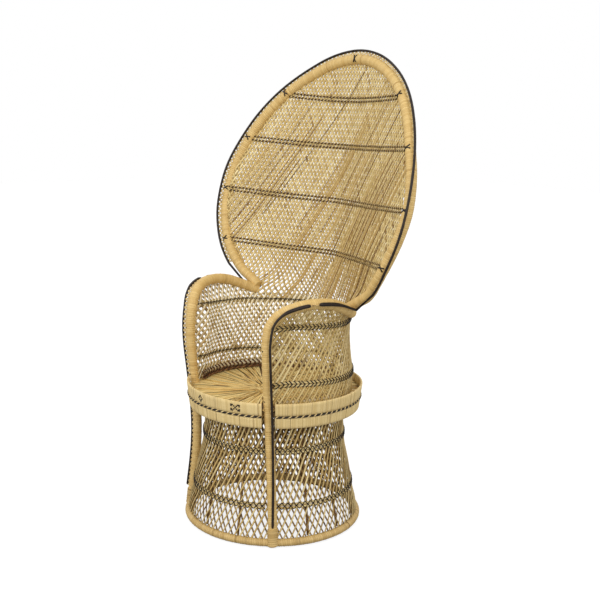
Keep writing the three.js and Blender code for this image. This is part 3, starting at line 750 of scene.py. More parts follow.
@dataclass(frozen=True)
class Lattice:
    """Canes that cross a wall slantwise in two sets."""

    SHORTEST = 3  # Canes with no more points than this are left out
    NEAR = 0.1  # Share of the spacing over which the wall's stretch is taken
    WIDEST = 1.3  # Greatest widening of a cane where the wall stretches

    spacing: float  # Distance between two canes of a set, in the wall's first coordinate
    slope: float  # Change of the first coordinate for each metre of height
    width: Profile  # Half width of a cane at each height
    thick: float = 0.0009  # Half thickness of a cane
    wave: float = 0.001  # How far a cane weaves in and out
    # Distance of a set's middle off the wall's middle, turned round for canes that lean against
    layer: float = 0.0
    span: float = 1.0  # Metres for one step of the first coordinate where the canes have their own width
    step: float = 0.004  # Distance between two points of a cane, in height
    stray: float = 0.16  # Spread of the canes' places and widths, as a share

    def weave(self, piece: Piece, wall: Wall, lean: Lean, across: Pair,
              heights: Pair, rng: Generator) -> None:
        """Adds one set of canes.

        Args:
            piece: Piece that takes them.
            wall: Wall that they cross.
            lean: Way that they lean.
            across: Range of the first coordinate.
            heights: Range of heights.
            rng: Source of their unevenness.
        """
        low, high = heights
        reach = self.slope * (high - low)
        first = math.floor((across[0] - reach) / self.spacing)
        last = math.ceil((across[1] + reach) / self.spacing)
        b = np.arange(low, high + self.step, self.step)
        for i in range(first, last + 1):
            swerve = rng.normal(0, self.stray / 2, 2) * self.spacing
            sway = swerve[0] + (swerve[1] - swerve[0]) * (b - low) / (high - low)
            a = i * self.spacing + lean.value * self.slope * (b - low) + sway
            tone = rng.random()
            there = wall.inside(a, b) & (a >= across[0]) & (a <= across[1])
            runs = np.split(np.arange(len(b)), np.flatnonzero(np.diff(there)) + 1)
            for run in runs:
                if there[run[0]] and len(run) > self.SHORTEST:
                    self._cane(piece, wall, lean, i, a[run], b[run], low, tone, rng)

    def _cane(self, piece: Piece, wall: Wall, lean: Lean, i: int, a: Array, b: Array, low: float,
              tone: float, rng: Generator) -> None:
        """Adds one cane.

        Args:
            piece: Piece that takes it.
            wall: Wall that it crosses.
            lean: Way that it leans.
            i: Its number in its set.
            a: First coordinates of its points.
            b: Heights of its points.
            low: Height where the canes are numbered.
            tone: Its shade.
            rng: Source of its unevenness.
        """
        other = (a + lean.value * self.slope * (b - low)) / self.spacing
        lift = lean.value * (self.wave * np.cos(math.pi * (other + i)) + self.layer)
        points, face = wall.lifted(a, b, lift)
        near = self.NEAR * self.spacing
        aside = wall.place(a + near, b) - wall.place(a - near, b)
        spread = np.clip(np.linalg.norm(aside, axis=-1) / (2 * near * self.span), 1, self.WIDEST)
        width = self.width.at(b) * rng.uniform(1 - self.stray, 1 + self.stray) * spread
        piece.add(points, face, width, self.thick, Section.SPLIT, tone)


@dataclass(frozen=True)
class Zigzag:
    """Pair of dark strands that zigzag along a wall and cross each other."""

    half: float  # Half height of the zigzag
    reach: float  # Width of one cross, in the wall's first coordinate
    width: float = 0.0015  # Half width of a strand
    thick: float = 0.0009  # Half thickness of a strand
    over: float = 0.9  # How far one strand passes over the other, as a share of its half thickness
    points: int = 8  # Points of a strand in one cross
    sharp: float = 0.96  # How sharp the turns are, up to one

    def lay(self, piece: Piece, wall: Wall, across: Pair, height: float, lift: float,
            rng: Generator, closed: bool = False) -> None:
        """Adds the pair.

        Args:
            piece: Piece that takes it.
            wall: Wall that it lies on.
            across: Range of the first coordinate.
            height: Height of its middle.
            lift: Distance off the wall's middle.
            rng: Source of its unevenness.
            closed: Whether it runs all round.
        """
        count = max(2, round((across[1] - across[0]) / self.reach))
        count += count % 2
        turn = np.linspace(0, math.pi * count, count * self.points + 1)
        turn = turn[:-1] if closed else turn
        a = across[0] + (across[1] - across[0]) * turn / (math.pi * count)
        for way in (1, -1):
            b = height + way * self.half * np.arcsin(self.sharp * np.cos(turn)) / math.asin(self.sharp)
            over = lift + way * math.copysign(self.thick * self.over, lift) * np.cos(turn + math.pi / 4)
            points, face = wall.lifted(a, b, over)
            tone = np.repeat(rng.random(count + 1), self.points)[:len(a)]
            piece.add(points, face, self.width, self.thick, Section.SPLIT, tone, closed=closed)


@dataclass(frozen=True)
class Chevrons:
    """Short strands in one or two rows, which lean to meet along the middle of a braid."""

    half: float  # Half height of the braid
    reach: float  # Distance between two strands, as a share of the canes' spacing
    lean: float  # How far a strand leans from the edge to the middle, in the same measure
    width: float = 0.0013  # Half width of a strand
    thick: float = 0.0009  # Half thickness of a strand
    stray: float = 0.06  # Spread of the strands' places, as a share of their distance
    # Ways from the edge to the middle of a strand's first and last point
    shares: Pair = (-0.15, 1.0)
    points: int = 6  # Points of a strand

    def lay(self, piece: Piece, wall: Wall, across: Pair, line: Profile, lift: float,
            rows: tuple[int, ...], spacing: float, rng: Generator) -> None:
        """Adds the strands.

        Args:
            piece: Piece that takes them.
            wall: Wall that they lie on.
            across: Range of the first coordinate.
            line: Height of the braid's middle at each distance from the wall's middle.
            lift: Distance off the wall's middle.
            rows: The rows, 1 being the upper row and -1 the lower one.
            spacing: Distance between two canes, in the wall's first coordinate.
            rng: Source of their unevenness.
        """
        share = np.linspace(*self.shares, self.points)
        reach = self.reach * spacing
        over = lift + math.copysign(self.thick, lift) * np.sin(math.pi * np.clip(share, 0, 1))
        for start in np.linspace(*across, round((across[1] - across[0]) / reach)):
            for row in rows:
                a = start + self.lean * spacing * (share - 0.5) + rng.normal(0, self.stray) * reach
                b = line.at(np.abs(a)) + row * self.half * (1 - share)
                points, face = wall.lifted(a, b, over)
                piece.add(points, face, self.width, self.thick, Section.SPLIT, rng.random())


@dataclass(frozen=True)
class Weaver:
    """Flat strand that runs along a wall, in and out of its canes."""

    width: float  # Half width of the strand
    reach: float  # Distance between two canes, in the wall's first coordinate
    thick: float = 0.0007  # Half thickness of the strand
    wave: float = 0.0004  # How far it goes in and out
    points: int = 4  # Its points between two canes
    shades: int = 24  # Its shades from end to end

    def run(self, piece: Piece, wall: Wall, across: Pair, line: Profile, lift: float,
            rng: Generator, finish: int = 0) -> None:
        """Adds the strand.

        Args:
            piece: Piece that takes it.
            wall: Wall that it lies on.
            across: Range of the first coordinate.
            line: Height of its middle at each distance from the wall's middle.
            lift: Distance off the wall's middle.
            rng: Source of its shades.
            finish: Which of the piece's finishes it has.
        """
        a = np.linspace(*across, self.points * round((across[1] - across[0]) / self.reach))
        over = lift + self.wave * np.cos(math.pi * a / self.reach + rng.random() * math.pi)
        points, face = wall.lifted(a, line.at(np.abs(a)), over)
        tone = np.interp(a, np.linspace(*across, self.shades), rng.random(self.shades))
        piece.add(points, face, self.width, self.thick, Section.SPLIT, tone, finish)


@dataclass(frozen=True)
class Cord:
    """Strands twisted together."""

    radius: float  # Distance of each strand from the cord's middle
    pitch: float  # Length of one whole turn
    thick: float  # Half thickness of a strand
    finishes: tuple[int, ...]  # Which of the piece's finishes each strand has
    run: int = 6  # Points of a strand that share a shade

    def lay(self, piece: Piece, path: Array, out: Array, rng: Generator, phase: float = 0.0) -> None:
        """Adds the strands.

        Args:
            piece: Piece that takes them.
            path: Points of the cord's middle, close together.
            out: The way that its outside looks.
            rng: Source of their shades.
            phase: Share of a turn by which the cord starts late.
        """
        ahead = headings(path)
        across = unit(np.cross(ahead, out))
        face = np.cross(across, ahead)
        along = distances(path)
        for k, finish in enumerate(self.finishes):
            turn = 2 * math.pi * (along / self.pitch + k / len(self.finishes) + phase)
            off = across * np.cos(turn)[:, None] + face * np.sin(turn)[:, None]
            tone = rng.random(len(path) // self.run + 1).repeat(self.run)[:len(path)]
            piece.add(path + off * self.radius, off, self.thick, self.thick, Section.STRAND, tone, finish)


@dataclass(frozen=True)
class RoundWall(Wall):
    """Wall round the seat's axis, with angles in radians as its first coordinate."""

    profile: Profile  # Radius of its middle at each height

    def place(self, a: Array, b: Array) -> Array:
        """Points at some angles and heights."""
        return polar(self.profile.at(b), a, b)

    def inside(self, a: Array, b: Array) -> Array:
        """The wall is there all round."""
        return np.ones(np.shape(a), dtype=bool)


class LegPole(Pole):
    """The pole of one leg and arm."""

    # Radius, angle in degrees and height of the right pole's points, from the floor on
    ROWS = ((0.280, 129, 0), (0.275, 129.2, 0.045), (0.265, 130, 0.125), (0.257, 131, 0.215),
            (0.255, 132, 0.3), (0.259, 133, 0.39), (0.267, 134, 0.48), (0.275, 134.6, 0.57),
            (0.275, 134.8, 0.64), (0.271, 133, 0.688), (0.268, 126.5, 0.722), (0.266, 115, 0.743),
            (0.264, 103, 0.748), (0.262, 90, 0.741), (0.26, 77, 0.72), (0.258, 65, 0.698))
    LEG = 0.0145  # Radius of the pole down the leg
    ARM = 0.017  # Radius of the pole on the arm
    SWELL = (0.43, 0.69)  # Heights between which it grows from one to the other
    # How far the rod lies round to the chair's back, at each height of the leg
    ROD_LEAN = Profile(((0.06, 0), (0.2, 0.33), (0.33, 0.48), (0.47, 0.55), (0.62, 0.47)))
    ROD_LIFT = 0.15  # How far the rod lies above the arm's outside
    # Distance between the middles of pole and rod, at each height
    ROD_GAP = Profile(((0.06, 0.0195), (0.25, 0.0215), (0.45, 0.0265), (0.6, 0.029)))

    def __init__(self, side: Side) -> None:
        """Lays the pole out.

        Args:
            side: Side of the chair that it is on.
        """
        rows = np.array(self.ROWS)
        self.side = side
        self.path = Path(polar(rows[:, 0], np.radians(rows[:, 1]), rows[:, 2]))
        self.length = self.path.length

    def radius(self, along: Array) -> Array:
        """Radii, growing from the leg to the arm."""
        return self.LEG + (self.ARM - self.LEG) * smoothstep(self.path.at(along)[..., 2], *self.SWELL)

    def stops(self, along: Array) -> tuple[Array, Array]:
        """Middles, and the way that the rod lies.

        Args:
            along: Distances along the pole.

        Returns:
            The middles and the unit vectors to the rod.
        """
        middle, ahead = self.path.at(along), self.path.heading(along)
        angle = np.arctan2(middle[..., 0], middle[..., 1])
        upright = np.maximum(0, ahead[..., 2]) ** 2
        lean = self.ROD_LEAN.at(middle[..., 2]) * upright
        towards = polar(1.0, angle, 0.0) + polar(1.0, angle - math.pi / 2, 0.0) * lean[..., None]
        towards[..., 2] += self.ROD_LIFT * (1 - upright)
        square = towards - ahead * np.sum(towards * ahead, axis=-1, keepdims=True)
        return middle * self.side.flip, unit(square) * self.side.flip

    def rod_gap(self, along: Array) -> Array:
        """Distances to the rod, which lies closer down the leg."""
        return self.ROD_GAP.at(self.path.at(along)[..., 2])

    def along_at(self, height: float) -> float:
        """Distance along the pole where the leg passes a height."""
        return self.path.where(self.path.points[:, 2] > height)

    def along_to(self, angle: float) -> float:
        """Distance along the pole where the arm passes an angle, in degrees."""
        x, y, z = self.path.points.T
        return self.path.where((np.arctan2(x, y) < math.radians(angle)) & (z > self.SWELL[1]))


@dataclass(frozen=True)
class BackWall(Wall):
    """The woven back, with half widths as its first coordinate."""

    # Depth of its middle at each height
    middle: Profile = Profile(((0.69, 0.239), (0.8, 0.236), (1.03, 0.255), (1.25, 0.29), (1.5, 0.33)))
    # How far its sides come forward at each height
    scoop: Profile = Profile(((0.69, 0.128), (0.717, 0.124), (0.78, 0.14), (0.859, 0.15), (1.03, 0.138),
                              (1.205, 0.118), (1.355, 0.093), (1.5, 0.045)))
    # Half width over which they do so
    span: Profile = Profile(((0.69, 0.212), (0.717, 0.224), (0.766, 0.314), (0.842, 0.371), (1.0, 0.42),
                             (1.5, 0.42)))
    # Power of that curve
    roundness: Profile = Profile(((0.69, 2.4), (0.76, 1.8), (0.88, 1.4), (1.5, 1.34)))
    # Half width and height of its rim, from the neck up
    outline: tuple[Pair, ...] = (
        (0.226, 0.714), (0.271, 0.74), (0.314, 0.766), (0.371, 0.842), (0.41, 0.938), (0.42, 1.012),
        (0.414, 1.1), (0.387, 1.187), (0.34, 1.276), (0.274, 1.353), (0.19, 1.414), (0.097, 1.456))
    peak: float = 1.471  # Height of its peak
    neck: float = 0.23  # Half width below the rim
    lap: float = 0.006  # How far the canes run into the rim

    def place(self, a: Array, b: Array) -> Array:
        """Points at some half widths and heights."""
        depth = self.scoop.at(b) * (np.abs(a) / self.span.at(b)) ** self.roundness.at(b)
        return np.stack(np.broadcast_arrays(a, self.middle.at(b) - depth, b), axis=-1)

    def inside(self, a: Array, b: Array) -> Array:
        """Whether the back is there, up to a little way into its rim.

        Args:
            a: Half widths.
            b: Heights.

        Returns:
            Whether it is there at each of them.
        """
        rim = self.rim_path().points
        rising = rim[:len(rim) // 2 + 1]
        half = np.interp(b, rising[:, 2], rising[:, 0], left=self.neck)
        return (np.abs(a) < half - self.lap) & (b < self.peak - self.lap)

    def outward(self, points: Array) -> Array:
        """Headings to the front."""
        return np.broadcast_to(FRONT, points.shape)

    def rim_path(self) -> Path:
        """Path of the rim in the woven surface.

        Returns:
            The path, from the right neck over the peak.
        """
        right = [*self.outline, (0.0, self.peak)]
        outline = np.array([*right, *((-x, z) for x, z in reversed(self.outline))])
        return Path(self.place(outline[:, 0], outline[:, 1]))


class RimPole(Pole):
    """The pole round the back."""

    # How far it swings back behind its rod at each height, in degrees
    SWING = Profile(((0.8, 0), (0.86, 7), (0.945, 19), (1.03, 31), (1.12, 23), (1.205, 5), (1.28, 0)))
    pole = 0.017  # Its radius

    def __init__(self, wall: BackWall) -> None:
        """Lays the pole out along the woven back's edge.

        Args:
            wall: The woven back.
        """
        self.wall = wall
        self.path = wall.rim_path()
        self.length = self.path.length

    def stops(self, along: Array) -> tuple[Array, Array]:
        """Middles, and the way that the rod lies; the pole swings back behind its rod at the sides.

        Args:
            along: Distances along the pole.

        Returns:
            The middles and the unit vectors to the rod.
        """
        middle, ahead = self.path.at(along), self.path.heading(along)
        face = self.wall.facing(middle[..., 0], middle[..., 2])
        level = unit(np.cross(ahead, face))
        swing = np.radians(self.SWING.at(middle[..., 2]))[..., None]
        out = unit(level * np.cos(swing) + face * np.sin(swing))
        return middle + (level - out) * self.rod_gap(along)[..., None], out


@dataclass(frozen=True)
class Edging:
    """Dark rod along a pole, laced to it."""

    rod: float = 0.004  # Radius of the rod
    uneven: float = 0.07  # Spread of its radius, as a share
    bound: float = 0.45  # How much thicker it is bound where it ends on an arm, as a share
    # Distances from its end where the thicker part starts to taper and ends
    bound_ends: Pair = (0.06, 0.1)
    tip: float = 0.75  # Radius of its very end, as a share
    step: float = 0.006  # Distance between two points of the rod
    pitch: float = 0.0075  # Distance between two laces
    lace: float = 0.0031  # Half width of a lace
    thin: float = 0.0009  # Half thickness of a lace
    lean: float = 0.9  # How far a lace leans along the pole, as a share of the pitch
    root: float = 0.003  # How deep a lace starts in the pole
    bite: float = 0.5  # How far from the rod's middle it ends, as a share of the rod's radius
    aside: float = 0.6  # How far it ends to one side of the rod's middle, in the same measure
    points: int = 5  # Points of a lace

    def rod_path(self, pole: Pole, start: float, end: float) -> tuple[Array, Array]:
        """Points of the rod along part of a pole.

        Args:
            pole: The pole.
            start: Distance along the pole where the part starts.
            end: Distance along the pole where it ends.

        Returns:
            The points, and the way that the rod's outside looks.
        """
        along = np.linspace(start, end, max(4, round((end - start) / self.step)))
        middles, out = pole.stops(along)
        return middles + out * pole.rod_gap(along)[:, None], out

    def lay_rod(self, piece: Piece, path: Array, out: Array, rng: Generator, both: bool = False) -> None:
        """Adds a rod, bound thicker where it ends on an arm.

        Args:
            piece: Piece that takes it.
            path: Points of its middle.
            out: The way that its outside looks.
            rng: Source of its unevenness.
            both: Whether both of its ends lie on an arm, not just the last.
        """
        knots = 1 + self.uneven * (rng.random(len(path)) - 0.5)
        ends = np.minimum(np.arange(len(path)), np.arange(len(path))[::-1])
        run = distances(path)
        left = np.minimum(run, run[-1] - run) if both else run[-1] - run
        bound = 1 + self.bound * (1 - smoothstep(left, *self.bound_ends))
        radius = self.rod * knots * bound * np.clip(self.tip + ends * (1 - self.tip), 0, 1)
        piece.add(path, out, radius, radius, Section.ROD, rng.random(len(path)))

    def lay_laces(self, piece: Piece, pole: Pole, start: float, end: float, rng: Generator) -> None:
        """Adds the laces between rod and pole, leaning to and fro.

        Args:
            piece: Piece that takes them.
            pole: The pole.
            start: Distance along the pole where they start.
            end: Distance along the pole where they end.
            rng: Source of their shades.
        """
        count = round((end - start) / self.pitch)
        along = start + (np.arange(count) + 0.5) * (end - start) / count
        shares = np.linspace(0, 1, self.points)
        for k, place in enumerate(along):
            way = 1 if k % 2 else -1
            spots = np.clip(place + (shares - 0.5) * self.pitch * (way * self.lean), 0, pole.length)
            middles, out = pole.stops(spots)
            root = pole.radius(spots) - self.root
            reach = root + shares * (pole.rod_gap(spots) - self.bite * self.rod - root)
            face = unit(np.cross(headings(middles), out)) * way
            path = middles + out * reach[:, None] + face * (shares ** 2 * self.aside * self.rod)[:, None]
            piece.add(path, face, self.lace, self.thin, Section.SPLIT, rng.random())


@dataclass(frozen=True)
class Tie:
    """Two dark strands tied crosswise over a pole."""

    spread: float = 0.006  # Half length of the cross along the pole
    reach: float = 0.7  # Turn of a strand round the pole from the cross's middle, in radians
    width: float = 0.0022  # Half width of a strand
    thick: float = 0.0011  # Half thickness of a strand
    points: int = 9  # Points of a strand

    def cross(self, piece: Piece, pole: Pole, along: float, facing: Array, rng: Generator) -> None:
        """Adds one tie.

        Args:
            piece: Piece that takes it.
            pole: The pole.
            along: Distance along the pole of its middle.
            facing: The way that its middle looks.
            rng: Source of its shades.
        """
        share = np.linspace(-1, 1, self.points)
        for way in (1, -1):
            spots = along + way * self.spread * share
            middles, _ = pole.stops(spots)
            ahead = headings(middles) * way
            front = unit(facing - ahead * (ahead @ facing)[:, None])
            turn = (self.reach * share)[:, None]
            out = front * np.cos(turn) + np.cross(ahead, front) * np.sin(turn)
            path = middles + out * (pole.radius(spots) + self.thick / 2)[:, None]
            piece.add(path, out, self.width, self.thick, Section.SPLIT, rng.random())


@dataclass(frozen=True)
class Nail:
    """Head of a nail in a pole."""

    size: float = 0.0021  # Radius of the head
    stands: tuple[float, ...] = (-0.002, 0.0004, 0.0011)  # Distances of its rings off the pole's surface
    shares: tuple[float, ...] = (1.0, 1.0, 0.5)  # Radii of its rings, as shares of the head's

    def drive(self, piece: Piece, pole: Pole, along: float, facing: Array) -> None:
        """Adds the head.

        Args:
            piece: Piece that takes it.
            pole: The pole.
            along: Distance along the pole.
            facing: The way that it looks.
        """
        spots = np.full(len(self.stands), along)
        middles, _ = pole.stops(spots)
        stand = pole.radius(spots) + np.array(self.stands)
        size = self.size * np.array(self.shares)
        path = middles + facing * stand[:, None]
        piece.add(path, np.cross(facing, UP), size, size, Section.ROD, MID_TONE)


@dataclass(frozen=True)
class Layer:
    """One layer of slanted canes in a wall."""

    name: str  # Its word in the piece's name
    lean: Lean  # Way that its canes lean
    finish: CaneFinish  # Finish of its canes
    lift: float  # Distance off the wall, less than nought on its inside
    width: Profile  # Half width of a cane at each height


@dataclass
class SubAssembly(ABC):
    """Part of the chair that makes its own pieces."""

    rng: Generator  # Source of its unevenness

    @abstractmethod
    def build(self) -> None:
        """Makes the pieces."""


@dataclass
class Base(SubAssembly):
    """Wound ring on the floor and the wraps round the feet."""

    ring: float = 0.275  # Radius of the ring
    pole: float = 0.0124  # Radius of its pole
    front: float = 130.6  # Angle where the front part starts, in degrees
    rear: float = 127.4  # Angle where the rear part ends, in degrees
    wrap: float = 0.0172  # Radius of a foot's wrap
    wrap_height: float = 0.055  # Height of a foot's wrap
    clear: float = 0.0035  # How far above the floor the wraps start
    # Winding of the ring and the wraps
    winding: Winding = Winding(pitch=0.0068, groove=0.0013, slant=0.0014)

    def build(self) -> None:
        """Makes the ring's two parts and the wraps."""
        for name, start, end in ring_parts(self.front, self.rear):
            ring = RingPole(self.ring, self.pole, self.pole, start, end)
            self.winding.make(f"base_winding_{name}", f"base_ring_{name}", ring, self.rng, BASE_WOUND)
        for side in Side:
            leg = LegPole(side)
            ends, _ = leg.stops(np.array([0.0, leg.along_at(self.wrap_height)]))
            foot = StraightPole(tuple(ends[0]), tuple(ends[1]), self.wrap, tuple(FRONT))
            self.winding.make(f"{side.label}_foot_winding", f"{side.label}_foot_wrap", foot, self.rng,
                              BASE_WOUND, self.clear)


SKIRT_CANE = Profile(((0.02, 0.0026), (0.12, 0.0028), (0.2, 0.0034), (0.4, 0.0035)))


@dataclass
class Skirt(SubAssembly):
    """Hourglass wall of slanted canes under the seat, with its dark bands and stakes."""

    # Radius of the wall's outside at each height
    profile: Profile = Profile(((0.02, 0.277), (0.06, 0.271), (0.09, 0.2625), (0.122, 0.257), (0.19, 0.244),
                                (0.25, 0.2305), (0.286, 0.2275), (0.33, 0.2245), (0.365, 0.227),
                                (0.405, 0.236)))
    canes: int = 88  # Canes in each of its layers
    # The layers; the inner one is darker, as painted shade inside the skirt under the seat
    layers: tuple[Layer, ...] = (
        Layer("outer", Lean.AGAINST, SKIRT, -0.0007, SKIRT_CANE),
        Layer("inner", Lean.WITH, SHADED_SKIRT_INNER, -0.0033, SKIRT_CANE))
    twist: float = 1.85  # Turn of a cane for each metre of height, in radians
    thick: float = 0.0011  # Half thickness of a cane
    step: float = 0.009  # Distance between two points of a cane, in height
    stray: float = 0.1  # Spread of the canes' places, as a share of their distance
    spread: Pair = (0.85, 1.12)  # Least and greatest width of a cane, as shares
    bands: Pair = (0.122, 0.286)  # Heights of the lower and the upper band
    braid: float = 0.0092  # Half height of a band's dark zigzag
    braid_lift: float = 0.0022  # How far the zigzag stands off the wall
    straw: float = 0.0042  # Half width of the two straws under it
    straw_row: float = 0.0046  # Distance of a straw's middle from the band's middle
    straw_lift: float = 0.0006  # How far the straws stand off the wall
    front: float = 134.5  # Angle where the lower band's front part starts, in degrees
    rear: float = 127.5  # Angle where its rear part ends, in degrees
    # Angles of the stakes inside, in degrees
    stakes: tuple[float, ...] = (180, 153, 105, 80, 55, 28, 0, -28, -55, -80, -105, -153)
    stake: float = 0.0042  # Radius of a stake
    stake_in: float = 0.0115  # How far inside the wall's outside the stakes stand
    stake_ends: Pair = (0.024, 0.398)  # Heights of a stake's ends
    stake_points: int = 16  # Points of a stake

    def __post_init__(self) -> None:
        """Works out the wall and the angle between two canes."""
        self.wall = RoundWall(self.profile)
        self.spacing = 2 * math.pi / self.canes

    def build(self) -> None:
        """Makes the layers of canes, the bands and the stakes."""
        for layer in self.layers:
            self._layer(layer)
        lower, upper = self.bands
        self._band("upper", 0.0, 360.0, upper)
        for name, start, end in ring_parts(self.front, self.rear):
            self._band(f"lower_{name}", start, end, lower)
        self._stakes()

    def _layer(self, layer: Layer) -> None:
        """Makes one layer of canes.

        Args:
            layer: The layer.
        """
        bottom, top = self.profile.knots[0][0], self.profile.knots[-1][0]
        b = np.arange(bottom, top, self.step)
        piece = Piece(f"skirt_canes_{layer.name}", layer.finish)
        for i in range(self.canes):
            sway = np.interp(b, (bottom, top), self.rng.normal(0, self.stray, 2))
            a = (i + sway) * self.spacing + layer.lean.value * self.twist * (b - bottom)
            points, face = self.wall.lifted(a, b, layer.lift)
            width = layer.width.at(b) * self.rng.uniform(*self.spread)
            piece.add(points, face, width, self.thick, Section.SPLIT, self.rng.random())
        piece.make(Slot.WOVEN, "skirt_panel")

    def _band(self, name: str, start: float, end: float, height: float) -> None:
        """Makes one dark band, or a part of it.

        Args:
            name: Its word in the piece's name.
            start: Angle where it starts, in degrees.
            end: Angle where it ends, in degrees.
            height: Height of its middle.
        """
        across = (math.radians(start), math.radians(end))
        weaver, zigzag = Weaver(self.straw, self.spacing), Zigzag(self.braid, self.spacing)
        piece = Piece(f"skirt_braid_{name}", DARK, SKIRT)
        for row in (-self.straw_row, self.straw_row):
            line = Profile.flat(height + row)
            weaver.run(piece, self.wall, across, line, self.straw_lift, self.rng, 1)
        zigzag.lay(piece, self.wall, across, height, self.braid_lift, self.rng, end - start == 360)
        piece.make(Slot.DARK, f"skirt_band_{name}")

    def _stakes(self) -> None:
        """Makes the stakes that stand inside the wall."""
        piece = Piece("skirt_stakes", RUSSET)
        b = np.linspace(*self.stake_ends, self.stake_points)
        for stake in self.stakes:
            a = np.full(len(b), math.radians(stake))
            path = polar(self.profile.at(b) - self.stake_in, a, b)
            piece.add(path, polar(1.0, a, 0.0), self.stake, self.stake, Section.ROD, self.rng.random())
        piece.make(Slot.BROWN, *(f"skirt_stake_{k:02d}" for k in range(1, len(self.stakes) + 1)))


SEAT_TOP = 0.43


@dataclass
class SeatPoles(SubAssembly):
    """Wound poles under the seat."""

    # Radius and height of the hoop that the skirt ends at, and radius of its pole
    hoop: Triple = (0.2327, 0.4106, 0.0118)
    hoop_end: float = 359.6  # Angle where the hoop's winding ends, in degrees
    # Radius and height of the rim pole's ring, and radius of the pole
    rim: Triple = (0.2622, 0.4129, 0.0093)
    front: float = 137.4  # Angle where the front rim pole starts, in degrees
    rear: float = 129.2  # Angle where the rear rim pole ends, in degrees
    winding: Winding = Winding(pitch=0.0085)  # Winding of the poles

    def build(self) -> None:
        """Makes the hoop, the rim poles and the bearers."""
        hoop = RingPole(*self.hoop, 0, self.hoop_end)
        self.winding.make("seat_hoop_winding", "seat_hoop", hoop, self.rng)
        for name, start, end in ring_parts(self.front, self.rear):
            rim = RingPole(*self.rim, start, end)
            self.winding.make(f"seat_rim_winding_{name}", f"seat_rim_pole_{name}", rim, self.rng)
        for name in ("front", "rear"):
            low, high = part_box(f"seat_bearer_{name}")
            y, z = (low.y + high.y) / 2 - Piece.axis, (low.z + high.z) / 2
            bearer = StraightPole((low.x, y, z), (high.x, y, z), (high.z - low.z) / 2)
            self.winding.make(f"seat_bearer_winding_{name}", f"seat_bearer_{name}", bearer, self.rng)


@dataclass
class Sunburst(SubAssembly):
    """The seat: a backing, canes that run out from near its middle, and loose ones over them."""

    radius: float = 0.2725  # Radius of the seat
    heart: Pair = (0.015, -0.045)  # Where the canes meet, across and back
    # Depth of the backing's middle under the seat's top, its half thickness and its middle gap
    backing: Triple = (0.0048, 0.0022, 0.001)
    backing_points: int = 72  # Points round the backing
    strips: int = 200  # Canes of the sunburst
    points: int = 9  # Points of a cane
    # Shares of the way out where the canes start, in turn
    starts: tuple[float, ...] = (0.02, 0.2, 0.42, 0.2)
    start_spread: Pair = (0.8, 1.25)  # Least and greatest change of a start, as shares
    # Depth of the first cane under the seat's top, and the step up from one cane to the next
    levels: Pair = (0.0022, 0.0006)
    turn_stray: float = 0.4  # How far a cane leans from its place, as a share of the canes' distance
    heart_stray: float = 0.006  # Spread of the canes' middles
    edge: float = 0.003  # How far inside the seat's edge the canes end
    # Half width of a cane at the middle, and its growth up to the edge
    widths: Pair = (0.0014, 0.0029)
    thick: float = 0.0009  # Half thickness of a cane
    loose_share: int = 3  # Canes of the sunburst for each loose one
    loose_levels: Pair = (0.0004, 0.0003)  # The levels of the loose canes, as above
    loose_stray: float = 0.012  # Spread of the loose canes' middles
    # Least and greatest reach of a loose cane, as shares of the seat's radius
    loose_reach: Pair = (0.55, 0.95)
    loose_size: Pair = (0.0015, 0.0008)  # Half width and half thickness of a loose cane

    def build(self) -> None:
        """Makes the backing and the canes."""
        piece = Piece("seat_sunburst", SEAT, UNDER)
        turn = np.linspace(0, 2 * math.pi, self.backing_points, endpoint=False)
        drop, thick, gap = self.backing
        half = self.radius / 2
        # The backing, in painted shade, shows in the gaps between the canes
        piece.add(polar(half, turn, SEAT_TOP - drop), UP, half - gap, thick, Section.SPLIT, MID_TONE, 1,
                  closed=True)
        self._strips(piece)
        self._loose(piece)
        piece.make(Slot.WOVEN, "seat_panel")

    def _strips(self, piece: Piece) -> None:
        """Adds the canes of the sunburst.

        Args:
            piece: Piece that takes them.
        """
        share = np.linspace(0, 1, self.points)[:, None]
        width = self.widths[0] + self.widths[1] * share[:, 0]
        for k in range(self.strips):
            turn = k % len(self.starts)
            height = SEAT_TOP - self.levels[0] + self.levels[1] * turn
            angle = 2 * math.pi * (k + self.rng.uniform(-self.turn_stray, self.turn_stray)) / self.strips
            heart = self._heart(height, self.heart_stray)
            start = self.starts[turn] * self.rng.uniform(*self.start_spread)
            out = polar(self.radius - self.edge, angle, height) - heart
            path = heart + out * (start + (1 - start) * share)
            piece.add(path, UP, width, self.thick, Section.SPLIT, self.rng.random())

    def _loose(self, piece: Piece) -> None:
        """Adds the loose canes.

        Args:
            piece: Piece that takes them.
        """
        share = np.linspace(0, 1, self.points)[:, None]
        for k in range(self.strips // self.loose_share):
            height = SEAT_TOP - self.loose_levels[0] + self.loose_levels[1] * (k % self.loose_share)
            heart = self._heart(height, self.loose_stray)
            reach = self.rng.uniform(*self.loose_reach) * self.radius
            path = heart + (polar(reach, 2 * math.pi * self.rng.random(), height) - heart) * share
            piece.add(path, UP, *self.loose_size, Section.SPLIT, self.rng.random())

    def _heart(self, height: float, stray: float) -> Array:
        """Middle of one cane at a height, with a spread."""
        return np.array([*self.heart, height]) + (*self.rng.normal(0, stray, 2), 0)


